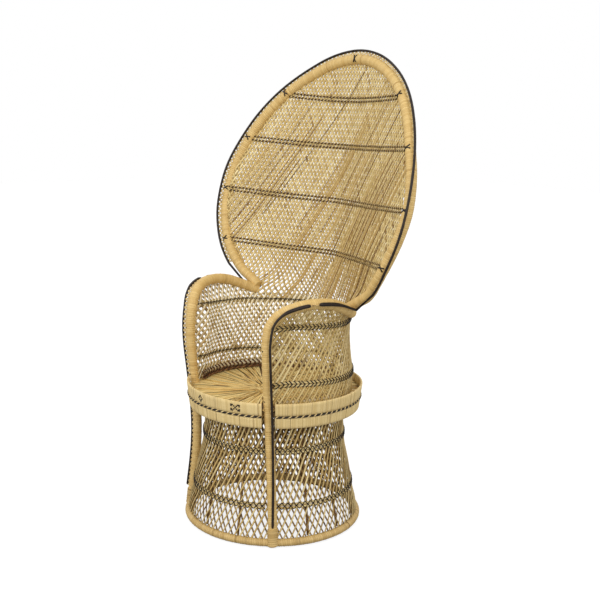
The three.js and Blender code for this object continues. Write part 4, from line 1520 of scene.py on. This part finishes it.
@dataclass
class SeatEdge(SubAssembly):
    """Braided edge along the foot of the barrel wall: a rope, and dark chevrons on a pale strip."""

    radius: float = 0.2372  # Radius of the rope's ring
    end: float = 127.0  # Angle where the edge stops, in degrees
    points: int = 420  # Points of the rope
    rope_rise: float = 0.005  # Height of the rope's middle over the seat
    rope: Cord = Cord(0.0017, 0.024, 0.0022, (0, 0, 1))  # The rope
    strip_rise: float = 0.0165  # Height of the strip's middle over the seat
    strip_out: float = 0.0065  # How far outside the rope's ring the strip lies
    strip: float = 0.0105  # Half width of the strip
    # Distances of the strip and of the chevrons off that place
    lifts: Pair = (-0.0002, -0.0014)
    reach: float = 0.015  # Distance between two chevrons
    braid: Chevrons = Chevrons(half=0.0105, reach=1.0, lean=0.7, width=0.0025, thick=0.0012)  # The chevrons

    def build(self) -> None:
        """Makes the rope, the strip and the chevrons."""
        piece = Piece("seat_edge_rope", BROWN, RUSSET, INNER)
        end = math.radians(self.end)
        turn = np.linspace(-end, end, self.points)
        path = polar(self.radius, turn, SEAT_TOP + self.rope_rise)
        self.rope.lay(piece, path, unit(polar(-1.0, turn, 1.0)), self.rng)
        wall = RoundWall(Profile.flat(self.radius + self.strip_out))
        line = Profile.flat(SEAT_TOP + self.strip_rise)
        spacing = self.reach / self.radius
        strip_lift, braid_lift = self.lifts
        # The strip takes the inner canes' finish, painted paler as if lit
        Weaver(self.strip, spacing).run(piece, wall, (-end, end), line, strip_lift, self.rng, 2)
        self.braid.lay(piece, wall, (-end, end), line, braid_lift, (1, -1), spacing, self.rng)
        piece.make(Slot.BROWN, "seat_edge_braid")


@dataclass
class SeatBands(SubAssembly):
    """Flared bands of straw round the seat, with a twisted cord between them."""

    # Radius of the upper band at its middle, height there and half height
    upper: Triple = (0.2775, 0.4335, 0.0195)
    lower: Triple = (0.2725, 0.391, 0.017)  # The same for the lower band
    thick: float = 0.0035  # Half thickness of the bands
    flare: float = 0.125  # Lean of the bands' faces
    # Winding of the bands
    winding: Winding = Winding(pitch=0.0031, groove=0.0008, slant=0.0004, uneven=0.4)
    cord_at: Pair = (0.278, 0.411)  # Radius and height of the cord
    cord: Cord = Cord(0.0017, 0.02, 0.0019, (0, 0, 0, 1))  # The cord
    cord_points: int = 5  # Points of the cord in each degree
    front: float = 137.4  # Angle where the front parts start, in degrees
    rear: float = 129.2  # Angle where the rear parts end, in degrees
    stitch: float = 0.0045  # Distance between two stitches of a figure
    # Half length and half width of a stitch, as shares of that, and its half thickness
    stitch_size: Triple = (0.55, 0.5, 0.0009)
    cross_at: float = 154.3  # Angle of the cross on the upper band, in degrees
    # Columns and rows of the cross's stitches
    cross: tuple[tuple[int, int], ...] = (
        (-3, 2), (-2, 2), (-3, 1), (-1, 1), (2, 2), (3, 2), (1, 1), (3, 1), (0, 0), (-1, -1), (-3, -1),
        (-3, -2), (-2, -2), (1, -1), (3, -1), (2, -2), (3, -2))
    diamond_at: float = 183.6  # Angle of the diamond, in degrees
    # Columns and rows of the diamond's stitches
    diamond: tuple[tuple[int, int], ...] = (
        (0, 2), (-1, 1), (1, 1), (-2, 0), (2, 0), (-1, -1), (1, -1), (0, -2))

    def build(self) -> None:
        """Makes the bands, the cord and the dark figures on the upper band."""
        for name, start, end in ring_parts(self.front, self.rear):
            for level, (radius, height, half) in (("upper", self.upper), ("lower", self.lower)):
                piece = Piece(f"seat_straw_{level}_{name}", STRAW)
                band = FlaredBand(radius, height, self.thick, start, end, self.flare)
                self.winding.cover(piece, band, self.rng, section=Section.BAND, height=half)
                piece.make(Slot.WOVEN, f"seat_band_{level}_{name}")
            piece = Piece(f"seat_cord_{name}", DARK, STRAW)
            turn = np.radians(np.linspace(start, end, round((end - start) * self.cord_points)))
            radius, height = self.cord_at
            self.cord.lay(piece, polar(radius, turn, height), polar(1.0, turn, 0.0), self.rng)
            piece.make(Slot.DARK, f"seat_band_cord_{name}")
        self._figures()

    def _figures(self) -> None:
        """Makes the dark figures on the front of the upper band, stitch by stitch."""
        piece = Piece("seat_band_figures", DARK)
        radius, height, _ = self.upper
        band = FlaredBand(radius, height, self.thick, 0, 360, self.flare)
        long, wide, thin = self.stitch_size
        for angle, stitches in ((self.cross_at, self.cross), (self.diamond_at, self.diamond)):
            for column, row in stitches:
                middle = math.radians(angle) * radius - column * self.stitch
                middles, out = band.stops(middle + self.stitch * np.array([-long, 0.0, long]))
                slope = np.cross(headings(middles), out) * (row * self.stitch)
                path = middles + slope + out * self.thick
                piece.add(path, out, self.stitch * wide, thin, Section.SPLIT, self.rng.random())
        piece.make(Slot.DARK, "seat_band_upper_front")


@dataclass
class LegAndArm(SubAssembly):
    """One wound leg and arm with its laced rod."""

    side: Side  # Side of the chair
    rod_foot: float = 0.062  # Height where the rod starts
    rod_end: float = 110.0  # Angle on the arm where the rod stops, in degrees
    lacing_end: float = 80.0  # Angle on the arm where the lacing stops, in degrees
    nails: tuple[float, ...] = (0.457, 0.612)  # Heights of the nails in the leg
    nail: Nail = Nail()  # The nails
    clear: float = 0.002  # How far above the floor the winding starts
    winding: Winding = Winding()  # Winding of the pole
    edging: Edging = Edging()  # Its rod and lacing

    def build(self) -> None:
        """Makes the wound pole, its rod, its lacing and its nails."""
        name = self.side.label
        pole = LegPole(self.side)
        self.winding.make(f"{name}_leg_winding", f"{name}_leg_and_arm", pole, self.rng, start=self.clear)
        start = pole.along_at(self.rod_foot)
        piece = Piece(f"{name}_leg_edging", DARK)
        path, out = self.edging.rod_path(pole, start, pole.along_to(self.rod_end))
        self.edging.lay_rod(piece, path, out, self.rng)
        piece.make(Slot.DARK, f"{name}_leg_rod")
        piece = Piece(f"{name}_leg_laces", STRAW)
        self.edging.lay_laces(piece, pole, start, pole.along_to(self.lacing_end), self.rng)
        piece.make(Slot.WOVEN, f"{name}_leg_lacing")
        piece = Piece(f"{name}_leg_nails", DARK)
        for height in self.nails:
            self.nail.drive(piece, pole, pole.along_at(height), FRONT)
        piece.make(Slot.DARK, f"{name}_leg_and_arm")


class BarrelWall(Wall):
    """The wall between seat and arms, with angles in radians as its first coordinate."""

    # Radius of its middle at each height
    PROFILE = Profile(((0.43, 0.248), (0.495, 0.247), (0.56, 0.239), (0.62, 0.235), (0.69, 0.239),
                       (0.76, 0.254)))
    TOP = 0.69  # Height of its top at the back, between the arms
    SEAT = 0.422  # Height where it starts
    FLARE = 0.06  # Height over which it swings out to an arm
    LAP = math.radians(14)  # Angle over which it swings out to a leg or starts to follow an arm
    SINK = 0.006  # How deep its edge sits in the pole
    POINTS = 260  # Points of its edge

    def __init__(self, pole: LegPole) -> None:
        """Works out the wall's edge along the right leg and under the right arm.

        Args:
            pole: The right leg and arm's pole.
        """
        along = np.linspace(0, pole.length, self.POINTS)
        middle, ahead = pole.path.at(along), pole.path.heading(along)
        inward = unit(np.cross(ahead, unit(radial(middle))))
        edge = middle + inward * (pole.radius(along) - self.SINK)[:, None]
        edge = edge[middle[:, 2] > self.SEAT]
        angle, radius = np.arctan2(edge[:, 0], edge[:, 1]), np.hypot(edge[:, 0], edge[:, 1])
        corner = int(np.argmax(angle))
        rows = np.stack([angle, edge[:, 2], radius])
        self.leg, self.arm = rows[:, :corner + 1], rows[:, corner:][:, ::-1]
        self.neck = float(self.arm[0, 0])

    def front(self, height: Array) -> Array:
        """Angles of the leg's edge at some heights."""
        return np.interp(height, self.leg[1], self.leg[0])

    def top(self, angle: Array) -> Array:
        """Heights of the wall's top at some angles."""
        side = np.abs(angle)
        return np.where(side < self.neck, self.TOP, np.interp(side, self.arm[0], self.arm[1]))

    def place(self, a: Array, b: Array) -> Array:
        """Points of the wall, which is waisted and swings out to meet leg and arm.

        Args:
            a: Angles.
            b: Heights.

        Returns:
            The points.
        """
        side, top = np.abs(a), self.top(a)
        front = self.front(b)
        to_leg = smoothstep(side, front - self.LAP, front)
        to_arm = smoothstep(b, top - self.FLARE, top)
        to_arm = to_arm * smoothstep(side, self.neck - self.LAP, self.neck + 2 * self.LAP)
        plain = self.PROFILE.at(b)
        radius = plain + (np.interp(b, self.leg[1], self.leg[2]) - plain) * to_leg
        radius = radius + (np.interp(side, self.arm[0], self.arm[2]) - radius) * to_arm
        return polar(radius, a, b)

    def inside(self, a: Array, b: Array) -> Array:
        """Whether the wall is there."""
        return (np.abs(a) < self.front(b)) & (b < self.top(a)) & (b > self.SEAT)


@dataclass
class Barrel(SubAssembly):
    """Wall of crossing canes between seat and arms, with its dark bands."""

    canes: int = 88  # Canes of each layer that a full turn would have
    # The layers: the outer canes; the inner canes, painted pale as if lit; and a darker copy of the inner
    # canes just outside them, painted shade on their backs
    layers: tuple[Layer, ...] = (
        Layer("outer", Lean.AGAINST, SKIRT, 0.0011, Profile.flat(0.0042)),
        Layer("inner", Lean.WITH, INNER, -0.0017, Profile.flat(0.0037)),
        Layer("inner_shaded_backs", Lean.WITH, SHADED_CANE, -0.0006, Profile.flat(0.0036)))
    twist: float = 2.65  # Turn of a cane for each metre of height, in radians
    thick: float = 0.0007  # Half thickness of a cane
    wave: float = 0.0002  # How far a cane weaves in and out
    waist: float = 0.235  # Radius where the canes have their own width
    reach: float = 2.4  # Angle up to which canes are laid, in radians
    heights: Pair = (0.424, 0.765)  # Heights between which canes are laid
    seed: int = 11  # Seed of the canes' unevenness, the same for the inner canes and for their darker backs in painted shade
    bands: Pair = (0.495, 0.668)  # Heights of the lower and the upper band at the back
    ends: Pair = (131.0, 132.5)  # Angles where the bands stop, in degrees
    rise: float = 0.012  # How far the bands rise from the back to the legs
    # Angles in radians along the rise, with the share reached there
    rises: tuple[Pair, ...] = ((1.1, 0.0), (1.7, 0.5), (2.3, 1.0))
    # Half width of the two straws of a band outside, and their distance from its middle
    straw: float = 0.0044
    straw_lift: float = 0.0028  # How far the straws stand off the wall
    # The dark chevrons on the straws
    braid: Chevrons = Chevrons(half=0.0085, reach=0.75, lean=-0.55, width=0.0016)
    braid_lift: float = 0.0044  # How far the chevrons stand off the wall
    thread: float = 0.0009  # Half width of the dark thread of a band inside
    thread_rise: float = 0.0035  # How far the thread runs above the band's middle
    thread_lift: float = -0.0034  # How far the thread stands off the wall, inwards being less than nought
    # The dark ticks that hang from the thread
    ticks: Chevrons = Chevrons(half=0.0042, reach=0.5, lean=-0.3, width=0.0009)
    ticks_lift: float = -0.0037  # How far the ticks stand off the wall
    # Angles in radians and heights of both ends of each loose cane inside
    loose: tuple[tuple[Pair, Pair], ...] = (
        ((-1.778, 0.666), (-2.205, 0.542)), ((-0.998, 0.655), (-1.526, 0.514)))
    loose_lift: float = -0.0045  # How far the loose canes stand off the wall
    loose_size: Pair = (0.0019, 0.0009)  # Half width and half thickness of a loose cane
    loose_tone: float = 0.3  # Deepest shade of a loose cane
    loose_points: int = 24  # Points of a loose cane

    def __post_init__(self) -> None:
        """Works out the wall and the angle between two canes."""
        self.wall = BarrelWall(LegPole(Side.RIGHT))
        self.spacing = 2 * math.pi / self.canes

    def build(self) -> None:
        """Makes the layers of canes, the bands on both faces and the loose canes."""
        for layer in self.layers:
            piece = Piece(f"barrel_canes_{layer.name}", layer.finish)
            lattice = Lattice(self.spacing, self.twist, layer.width, self.thick, self.wave,
                              layer.lift * layer.lean.value, self.waist)
            across, rng = (-self.reach, self.reach), np.random.default_rng(self.seed)
            lattice.weave(piece, self.wall, layer.lean, across, self.heights, rng)
            piece.make(Slot.WOVEN, "barrel_panel")
        for level, height, end in zip(("lower", "upper"), self.bands, self.ends):
            self._band(level, height, math.radians(end))
        piece = Piece("barrel_loose_canes", STRAW)
        for first, last in self.loose:
            a, b = np.linspace(first, last, self.loose_points).T
            points, face = self.wall.lifted(a, b, self.loose_lift)
            piece.add(points, face, *self.loose_size, Section.SPLIT, self.rng.random() * self.loose_tone)
        piece.make(Slot.WOVEN, "barrel_panel")

    def _band(self, level: str, height: float, end: float) -> None:
        """Makes one band: dark chevrons outside, and on the inner face a thin dark thread with ticks.

        Args:
            level: Which band it is.
            height: Height of its middle at the back.
            end: Angle where it stops, in radians.
        """
        def line(off: float) -> Profile:
            """Heights of a row, which rises to the legs."""
            return Profile(tuple((turn, height + off + self.rise * share) for turn, share in self.rises))

        wall, rng, across = self.wall, self.rng, (-end, end)
        outer = Piece(f"barrel_braid_{level}_outer", DARK, SKIRT)
        inner = Piece(f"barrel_braid_{level}_inner", DARK)
        for row in (-self.straw, self.straw):
            Weaver(self.straw, self.spacing).run(outer, wall, across, line(row), self.straw_lift, rng, 1)
        self.braid.lay(outer, wall, across, line(0.0), self.braid_lift, (1, -1), self.spacing, rng)
        thread = line(self.thread_rise)
        Weaver(self.thread, self.spacing).run(inner, wall, across, thread, self.thread_lift, rng)
        self.ticks.lay(inner, wall, across, thread, self.ticks_lift, (-1,), self.spacing, rng)
        outer.make(Slot.DARK, f"barrel_band_{level}_outer")
        inner.make(Slot.DARK, f"barrel_band_{level}_inner")


@dataclass
class Back(SubAssembly):
    """Woven back with its dark twined bands, wound rim, rod and lacing."""

    spacing: float = 0.0138  # Distance between two canes of a set, level
    slope: float = 0.6  # Sideways step of a cane for each step up
    # Half width of a cane at each height
    cane: Profile = Profile(((0.67, 0.0022), (0.76, 0.003), (0.86, 0.0039), (1.5, 0.004)))
    stray: float = 0.08  # Spread of the canes' places and widths, as a share
    bottom: float = 0.672  # Height where the canes start, behind the barrel's upper band
    reach: float = 0.43  # Half width up to which canes and bands are laid
    # Foot at both sides of each bundle, level with the bottom, and its lowest and highest place
    streaks: tuple[tuple[float, float, float, float], ...] = (
        (-0.6, -0.45, 0.85, 1.22), (-0.06, 0.05, 0.72, 1.16), (0.0, 0.12, 0.85, 1.26),
        (-0.3, -0.1, 0.78, 1.3), (-0.17, 0.22, 0.64, 0.9))
    mix: tuple[float, ...] = (0.5, 0.32, 0.18)  # Shares of pale, golden and russet canes in a bundle
    # Least and greatest half width of each of the three
    thin: tuple[Pair, ...] = ((0.0014, 0.0024), (0.0012, 0.0022), (0.0008, 0.0013))
    streak_share: float = 0.65  # Share of a bundle's places that hold a cane
    streak_ends: float = 0.14  # How far a cane may end from its bundle's lowest and highest place
    streak_stray: float = 0.001  # Spread of the canes' places in a bundle
    streak_step: float = 0.008  # Distance between two points of a bundle's cane, in height
    streak_lift: float = 0.0017  # How far the bundles lie off the back's middle
    streak_thick: float = 0.0008  # Half thickness of a bundle's cane
    # Half widths and heights of both ends of the dark cane
    dark_cane: tuple[Pair, Pair] = ((0.044, 1.431), (-0.279, 0.947))
    dark_size: Pair = (0.0009, 0.0007)  # Half width and half thickness of the dark cane
    dark_points: int = 60  # Points of the dark cane
    bands: tuple[float, ...] = (0.859, 1.03, 1.205, 1.355)  # Heights of the bands' ends
    sag: float = 0.013  # How far the bands hang lower in the middle
    # Height over the band's middle, late start and strands' half thickness of each row of a band
    rows: tuple[Triple, ...] = ((0.0058, 0.0, 0.002), (-0.0058, 0.35, 0.0022))
    row_radius: float = 0.0013  # Distance of a row's strands from its middle
    row_points: int = 700  # Points across the reach of a row
    over: float = 0.0026  # How far the dark cane and the bands lie off the back's middle
    tie: Tie = Tie()  # The ties over the rim
    tie_facing: Triple = (0.0, -1.0, 0.2)  # The way that the ties look
    rod_start: float = 104.0  # Angle on the arm where the rod starts, in degrees
    rod_neck: float = 73.0  # Angle on the arm where the rod leaves it, in degrees
    rod_rise: float = 0.138  # Distance along the rim where the rod joins it
    winding: Winding = Winding()  # Winding of the rim
    edging: Edging = Edging()  # The rim's rod and lacing

    def __post_init__(self) -> None:
        """Works out the wall and its rim."""
        self.wall = BackWall()
        self.rim = RimPole(self.wall)

    def build(self) -> None:
        """Makes the canes, the bands, the rim, its rod and its lacing."""
        lattice = Lattice(self.spacing, self.slope, self.cane, stray=self.stray)
        across, heights = (-self.reach, self.reach), (self.bottom, self.wall.peak)
        # The falling set takes the darker finish: painted shade between the canes
        for name, lean, finish in (("rising", Lean.WITH, WOVEN), ("falling", Lean.AGAINST, SHADED_CANE)):
            piece = Piece(f"back_canes_{name}", finish)
            lattice.weave(piece, self.wall, lean, across, heights, self.rng)
            piece.make(Slot.WOVEN, "back_panel")
        self._streaks()
        for k, height in enumerate(self.bands, start=1):
            self._band(k, height)
        self._rim()
        self._edging()

    def _streaks(self) -> None:
        """Makes the bundles of rising canes that lie on the weave, and one dark cane."""
        piece = Piece("back_streaks", WOVEN, WOUND, RUSSET, BROWN)
        for first, last, low, high in self.streaks:
            for foot in np.arange(first, last, self.spacing / 2):
                self._streak(piece, foot, low, high)
        a, b = np.linspace(*self.dark_cane, self.dark_points).T
        points, face = self.wall.lifted(a, b, self.over)
        piece.add(points, face, *self.dark_size, Section.SPLIT, MID_TONE, piece.finishes.index(BROWN))
        piece.make(Slot.WOVEN, "back_panel")

    def _streak(self, piece: Piece, foot: float, low: float, high: float) -> None:
        """Adds one cane of a bundle, if its place holds one.

        Args:
            piece: Piece that takes it.
            foot: Its place, level with the bottom.
            low: Lowest place of the bundle.
            high: Highest place of the bundle.
        """
        start, end = self.rng.uniform(-self.streak_ends, self.streak_ends, 2)
        b = np.arange(max(low + start, self.bottom), high + end, self.streak_step)
        a = foot + self.rng.normal(0, self.streak_stray) + self.slope * (b - self.bottom)
        there = self.wall.inside(a, b)
        if there.sum() > Lattice.SHORTEST and self.rng.random() < self.streak_share:
            points, face = self.wall.lifted(a[there], b[there], self.streak_lift)
            finish = int(self.rng.choice(len(self.mix), p=self.mix))
            width = self.rng.uniform(*self.thin[finish])
            piece.add(points, face, width, self.streak_thick, Section.SPLIT, self.rng.random(), finish)

    def _band(self, k: int, height: float) -> None:
        """Makes one band: two rows of dark, brown and natural strands twisted together.

        Args:
            k: Number of the band.
            height: Height of its ends.
        """
        piece = Piece(f"back_twining_{k}", DARK, BROWN, SHADED_CANE)
        a = np.linspace(-self.reach, self.reach, self.row_points)
        across = a[self.wall.inside(a, np.full(len(a), height))]
        for row, phase, thick in self.rows:
            b = height + row - self.sag * (1 - (across / across[-1]) ** 2)
            path, face = self.wall.lifted(across, b, self.over)
            Cord(self.row_radius, self.spacing, thick, (0, 1, 2)).lay(piece, path, face, self.rng, phase)
        piece.make(Slot.DARK, f"back_band_{k}")

    def _rim(self) -> None:
        """Makes the wound rim and the dark ties over it, at the peak and at the bands' ends."""
        rim = self.rim
        self.winding.make("back_rim_winding", "back_rim_pole", rim, self.rng)
        piece = Piece("back_rim_ties", DARK)
        rises = [rim.path.where(rim.path.points[:, 2] > height) for height in self.bands]
        for along in (rim.length / 2, *rises, *(rim.length - rise for rise in rises)):
            self.tie.cross(piece, rim, along, np.array(self.tie_facing), self.rng)
        piece.make(Slot.DARK, "back_rim_pole")

    def _edging(self) -> None:
        """Makes the rod round the back, which runs on over both arms, and its lacing."""
        arm, flip = LegPole(Side.RIGHT), Side.LEFT.flip
        ends = (arm.along_to(self.rod_start), arm.along_to(self.rod_neck))
        over, over_out = self.edging.rod_path(arm, *ends)
        ends = (self.rod_rise, self.rim.length - self.rod_rise)
        edge, edge_out = self.edging.rod_path(self.rim, *ends)
        path = np.vstack([over, edge, over[::-1] * flip])
        outs = np.vstack([over_out, edge_out, over_out[::-1] * flip])
        piece = Piece("back_rim_edging", DARK)
        self.edging.lay_rod(piece, path, outs, self.rng, both=True)
        piece.make(Slot.DARK, "back_rim_rod")
        piece = Piece("back_rim_laces", STRAW)
        self.edging.lay_laces(piece, self.rim, *ends, self.rng)
        piece.make(Slot.WOVEN, "back_rim_lacing")


@dataclass(frozen=True)
class Viewpoint:
    """Camera of the view, placed round the seat's axis."""

    turn: float = 50.35  # Turn round the chair from its front, in degrees
    distance: float = 3.1409  # Distance from the axis
    height: float = 1.3355  # Height of the camera
    lens: float = 60.36  # Focal length, in millimetres
    sensor: float = 36.0  # Width of the sensor, in millimetres
    yaw: float = -1.374  # Turn of the view from the axis, in degrees
    pitch: float = 11.2  # Angle that it looks down, in degrees
    roll: float = 1.32  # Roll, in degrees

    def place(self) -> None:
        """Makes the camera and has the scene use it."""
        turn, roll = math.radians(self.turn), math.radians(self.roll)
        way, pitch = math.radians(self.turn + self.yaw), math.radians(self.pitch)
        look = Vector((-math.sin(way) * math.cos(pitch), math.cos(way) * math.cos(pitch), -math.sin(pitch)))
        level = Vector((math.cos(way), math.sin(way), 0))
        upright = level.cross(look)
        right = level * math.cos(roll) + upright * math.sin(roll)
        above = upright * math.cos(roll) - level * math.sin(roll)
        made = bpy.data.objects.new("camera", bpy.data.cameras.new("camera"))
        made.data.lens, made.data.sensor_width = self.lens, self.sensor
        spot = (self.distance * math.sin(turn), Piece.axis - self.distance * math.cos(turn), self.height)
        turned = Matrix((right, above, -look)).transposed()
        made.matrix_world = Matrix.Translation(spot) @ turned.to_4x4()
        bpy.context.scene.collection.objects.link(made)
        bpy.context.scene.camera = made
        log.info("camera at %s", tuple(round(value, 3) for value in spot))


@dataclass(frozen=True)
class Lamp:
    """A soft area lamp aimed at the chair."""

    name: str  # Its name
    spot: Triple  # Where it hangs
    size: float  # Its width
    watts: float  # Its power
    aim: Triple = (0.0, 0.0, 0.75)  # Where it looks, the middle of the chair

    def hang(self) -> None:
        """Makes the lamp."""
        data = bpy.data.lights.new(self.name, "AREA")
        data.size, data.energy = self.size, self.watts
        made = bpy.data.objects.new(self.name, data)
        made.location = self.spot
        made.rotation_euler = (Vector(self.aim) - Vector(self.spot)).to_track_quat("-Z", "Y").to_euler()
        bpy.context.scene.collection.objects.link(made)


@dataclass(frozen=True)
class Studio:
    """White room: floor, daylight and lamps."""

    daylight: float = 0.9  # Strength of the light from all round
    floor_shade: float = 0.3  # Shade of the floor, for light and shadow that fall on it
    floor_glow: float = 0.8  # Brightness that the view adds to the floor, which makes it white
    floor_reach: float = 12.0  # Half width of the floor
    floor_drop: float = 0.0015  # How far below the chair's lowest point the floor lies
    # The lamps
    lamps: tuple[Lamp, ...] = (
        Lamp("key", (0.6, -3.4, 2.8), 2.8, 59.0),
        Lamp("fill", (3.6, -0.8, 1.8), 2.4, 31.0),
        Lamp("rear", (-2.6, 2.4, 2.6), 2.2, 16.0))

    def build(self) -> None:
        """Makes the room."""
        scene = bpy.context.scene
        scene.view_settings.view_transform = "Standard"
        world = bpy.data.worlds.new("daylight")
        scene.world = world
        world.use_nodes = True
        tree = world.node_tree
        back = tree.nodes["Background"]
        light_path = tree.nodes.new("ShaderNodeLightPath")
        seen = tree.nodes.new("ShaderNodeMapRange")
        seen.inputs["To Min"].default_value = self.daylight
        seen.inputs["To Max"].default_value = 1.0
        tree.links.new(light_path.outputs["Is Camera Ray"], seen.inputs["Value"])
        tree.links.new(seen.outputs[0], back.inputs["Strength"])
        back.inputs["Color"].default_value = WHITE
        for lamp in self.lamps:
            lamp.hang()
        self._floor()

    def _floor(self) -> None:
        """Makes the pale floor, which keeps the chair's shadow."""
        mesh = bpy.data.meshes.new("floor")
        reach = self.floor_reach
        corners = [(-reach, -reach, 0), (reach, -reach, 0), (reach, reach, 0), (-reach, reach, 0)]
        mesh.from_pydata(corners, [], [(0, 1, 2, 3)])
        floor = bpy.data.objects.new("floor", mesh)
        floor.location.z = -self.floor_drop
        bpy.context.scene.collection.objects.link(floor)
        made = bpy.data.materials.new("Floor")
        made.use_nodes = True
        tree = made.node_tree
        shader = tree.nodes["Principled BSDF"]
        shader.inputs["Base Color"].default_value = (self.floor_shade,) * 3 + (1,)
        shader.inputs["Roughness"].default_value = 1.0
        shader.inputs["Specular IOR Level"].default_value = 0.0
        light_path = tree.nodes.new("ShaderNodeLightPath")
        shader.inputs["Emission Color"].default_value = WHITE
        glow = math_node(tree, "MULTIPLY", light_path.outputs["Is Camera Ray"], self.floor_glow)
        tree.links.new(glow, shader.inputs["Emission Strength"])
        mesh.materials.append(made)


def main() -> None:
    """Builds the chair's classes in order and sets the view."""
    logging.basicConfig(level=logging.INFO, format="%(name)s %(message)s")
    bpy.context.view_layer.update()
    low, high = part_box("seat_hoop")
    Piece.axis = (low.y + high.y) / 2
    rng = np.random.default_rng(SEED)
    legs = [LegAndArm(rng, side) for side in Side]
    for part in (Base(rng), Skirt(rng), SeatPoles(rng), Sunburst(rng), SeatEdge(rng), SeatBands(rng), *legs,
                 Barrel(rng), Back(rng)):
        part.build()
    Studio().build()
    Viewpoint().place()


if __name__ == "__main__":
    main()
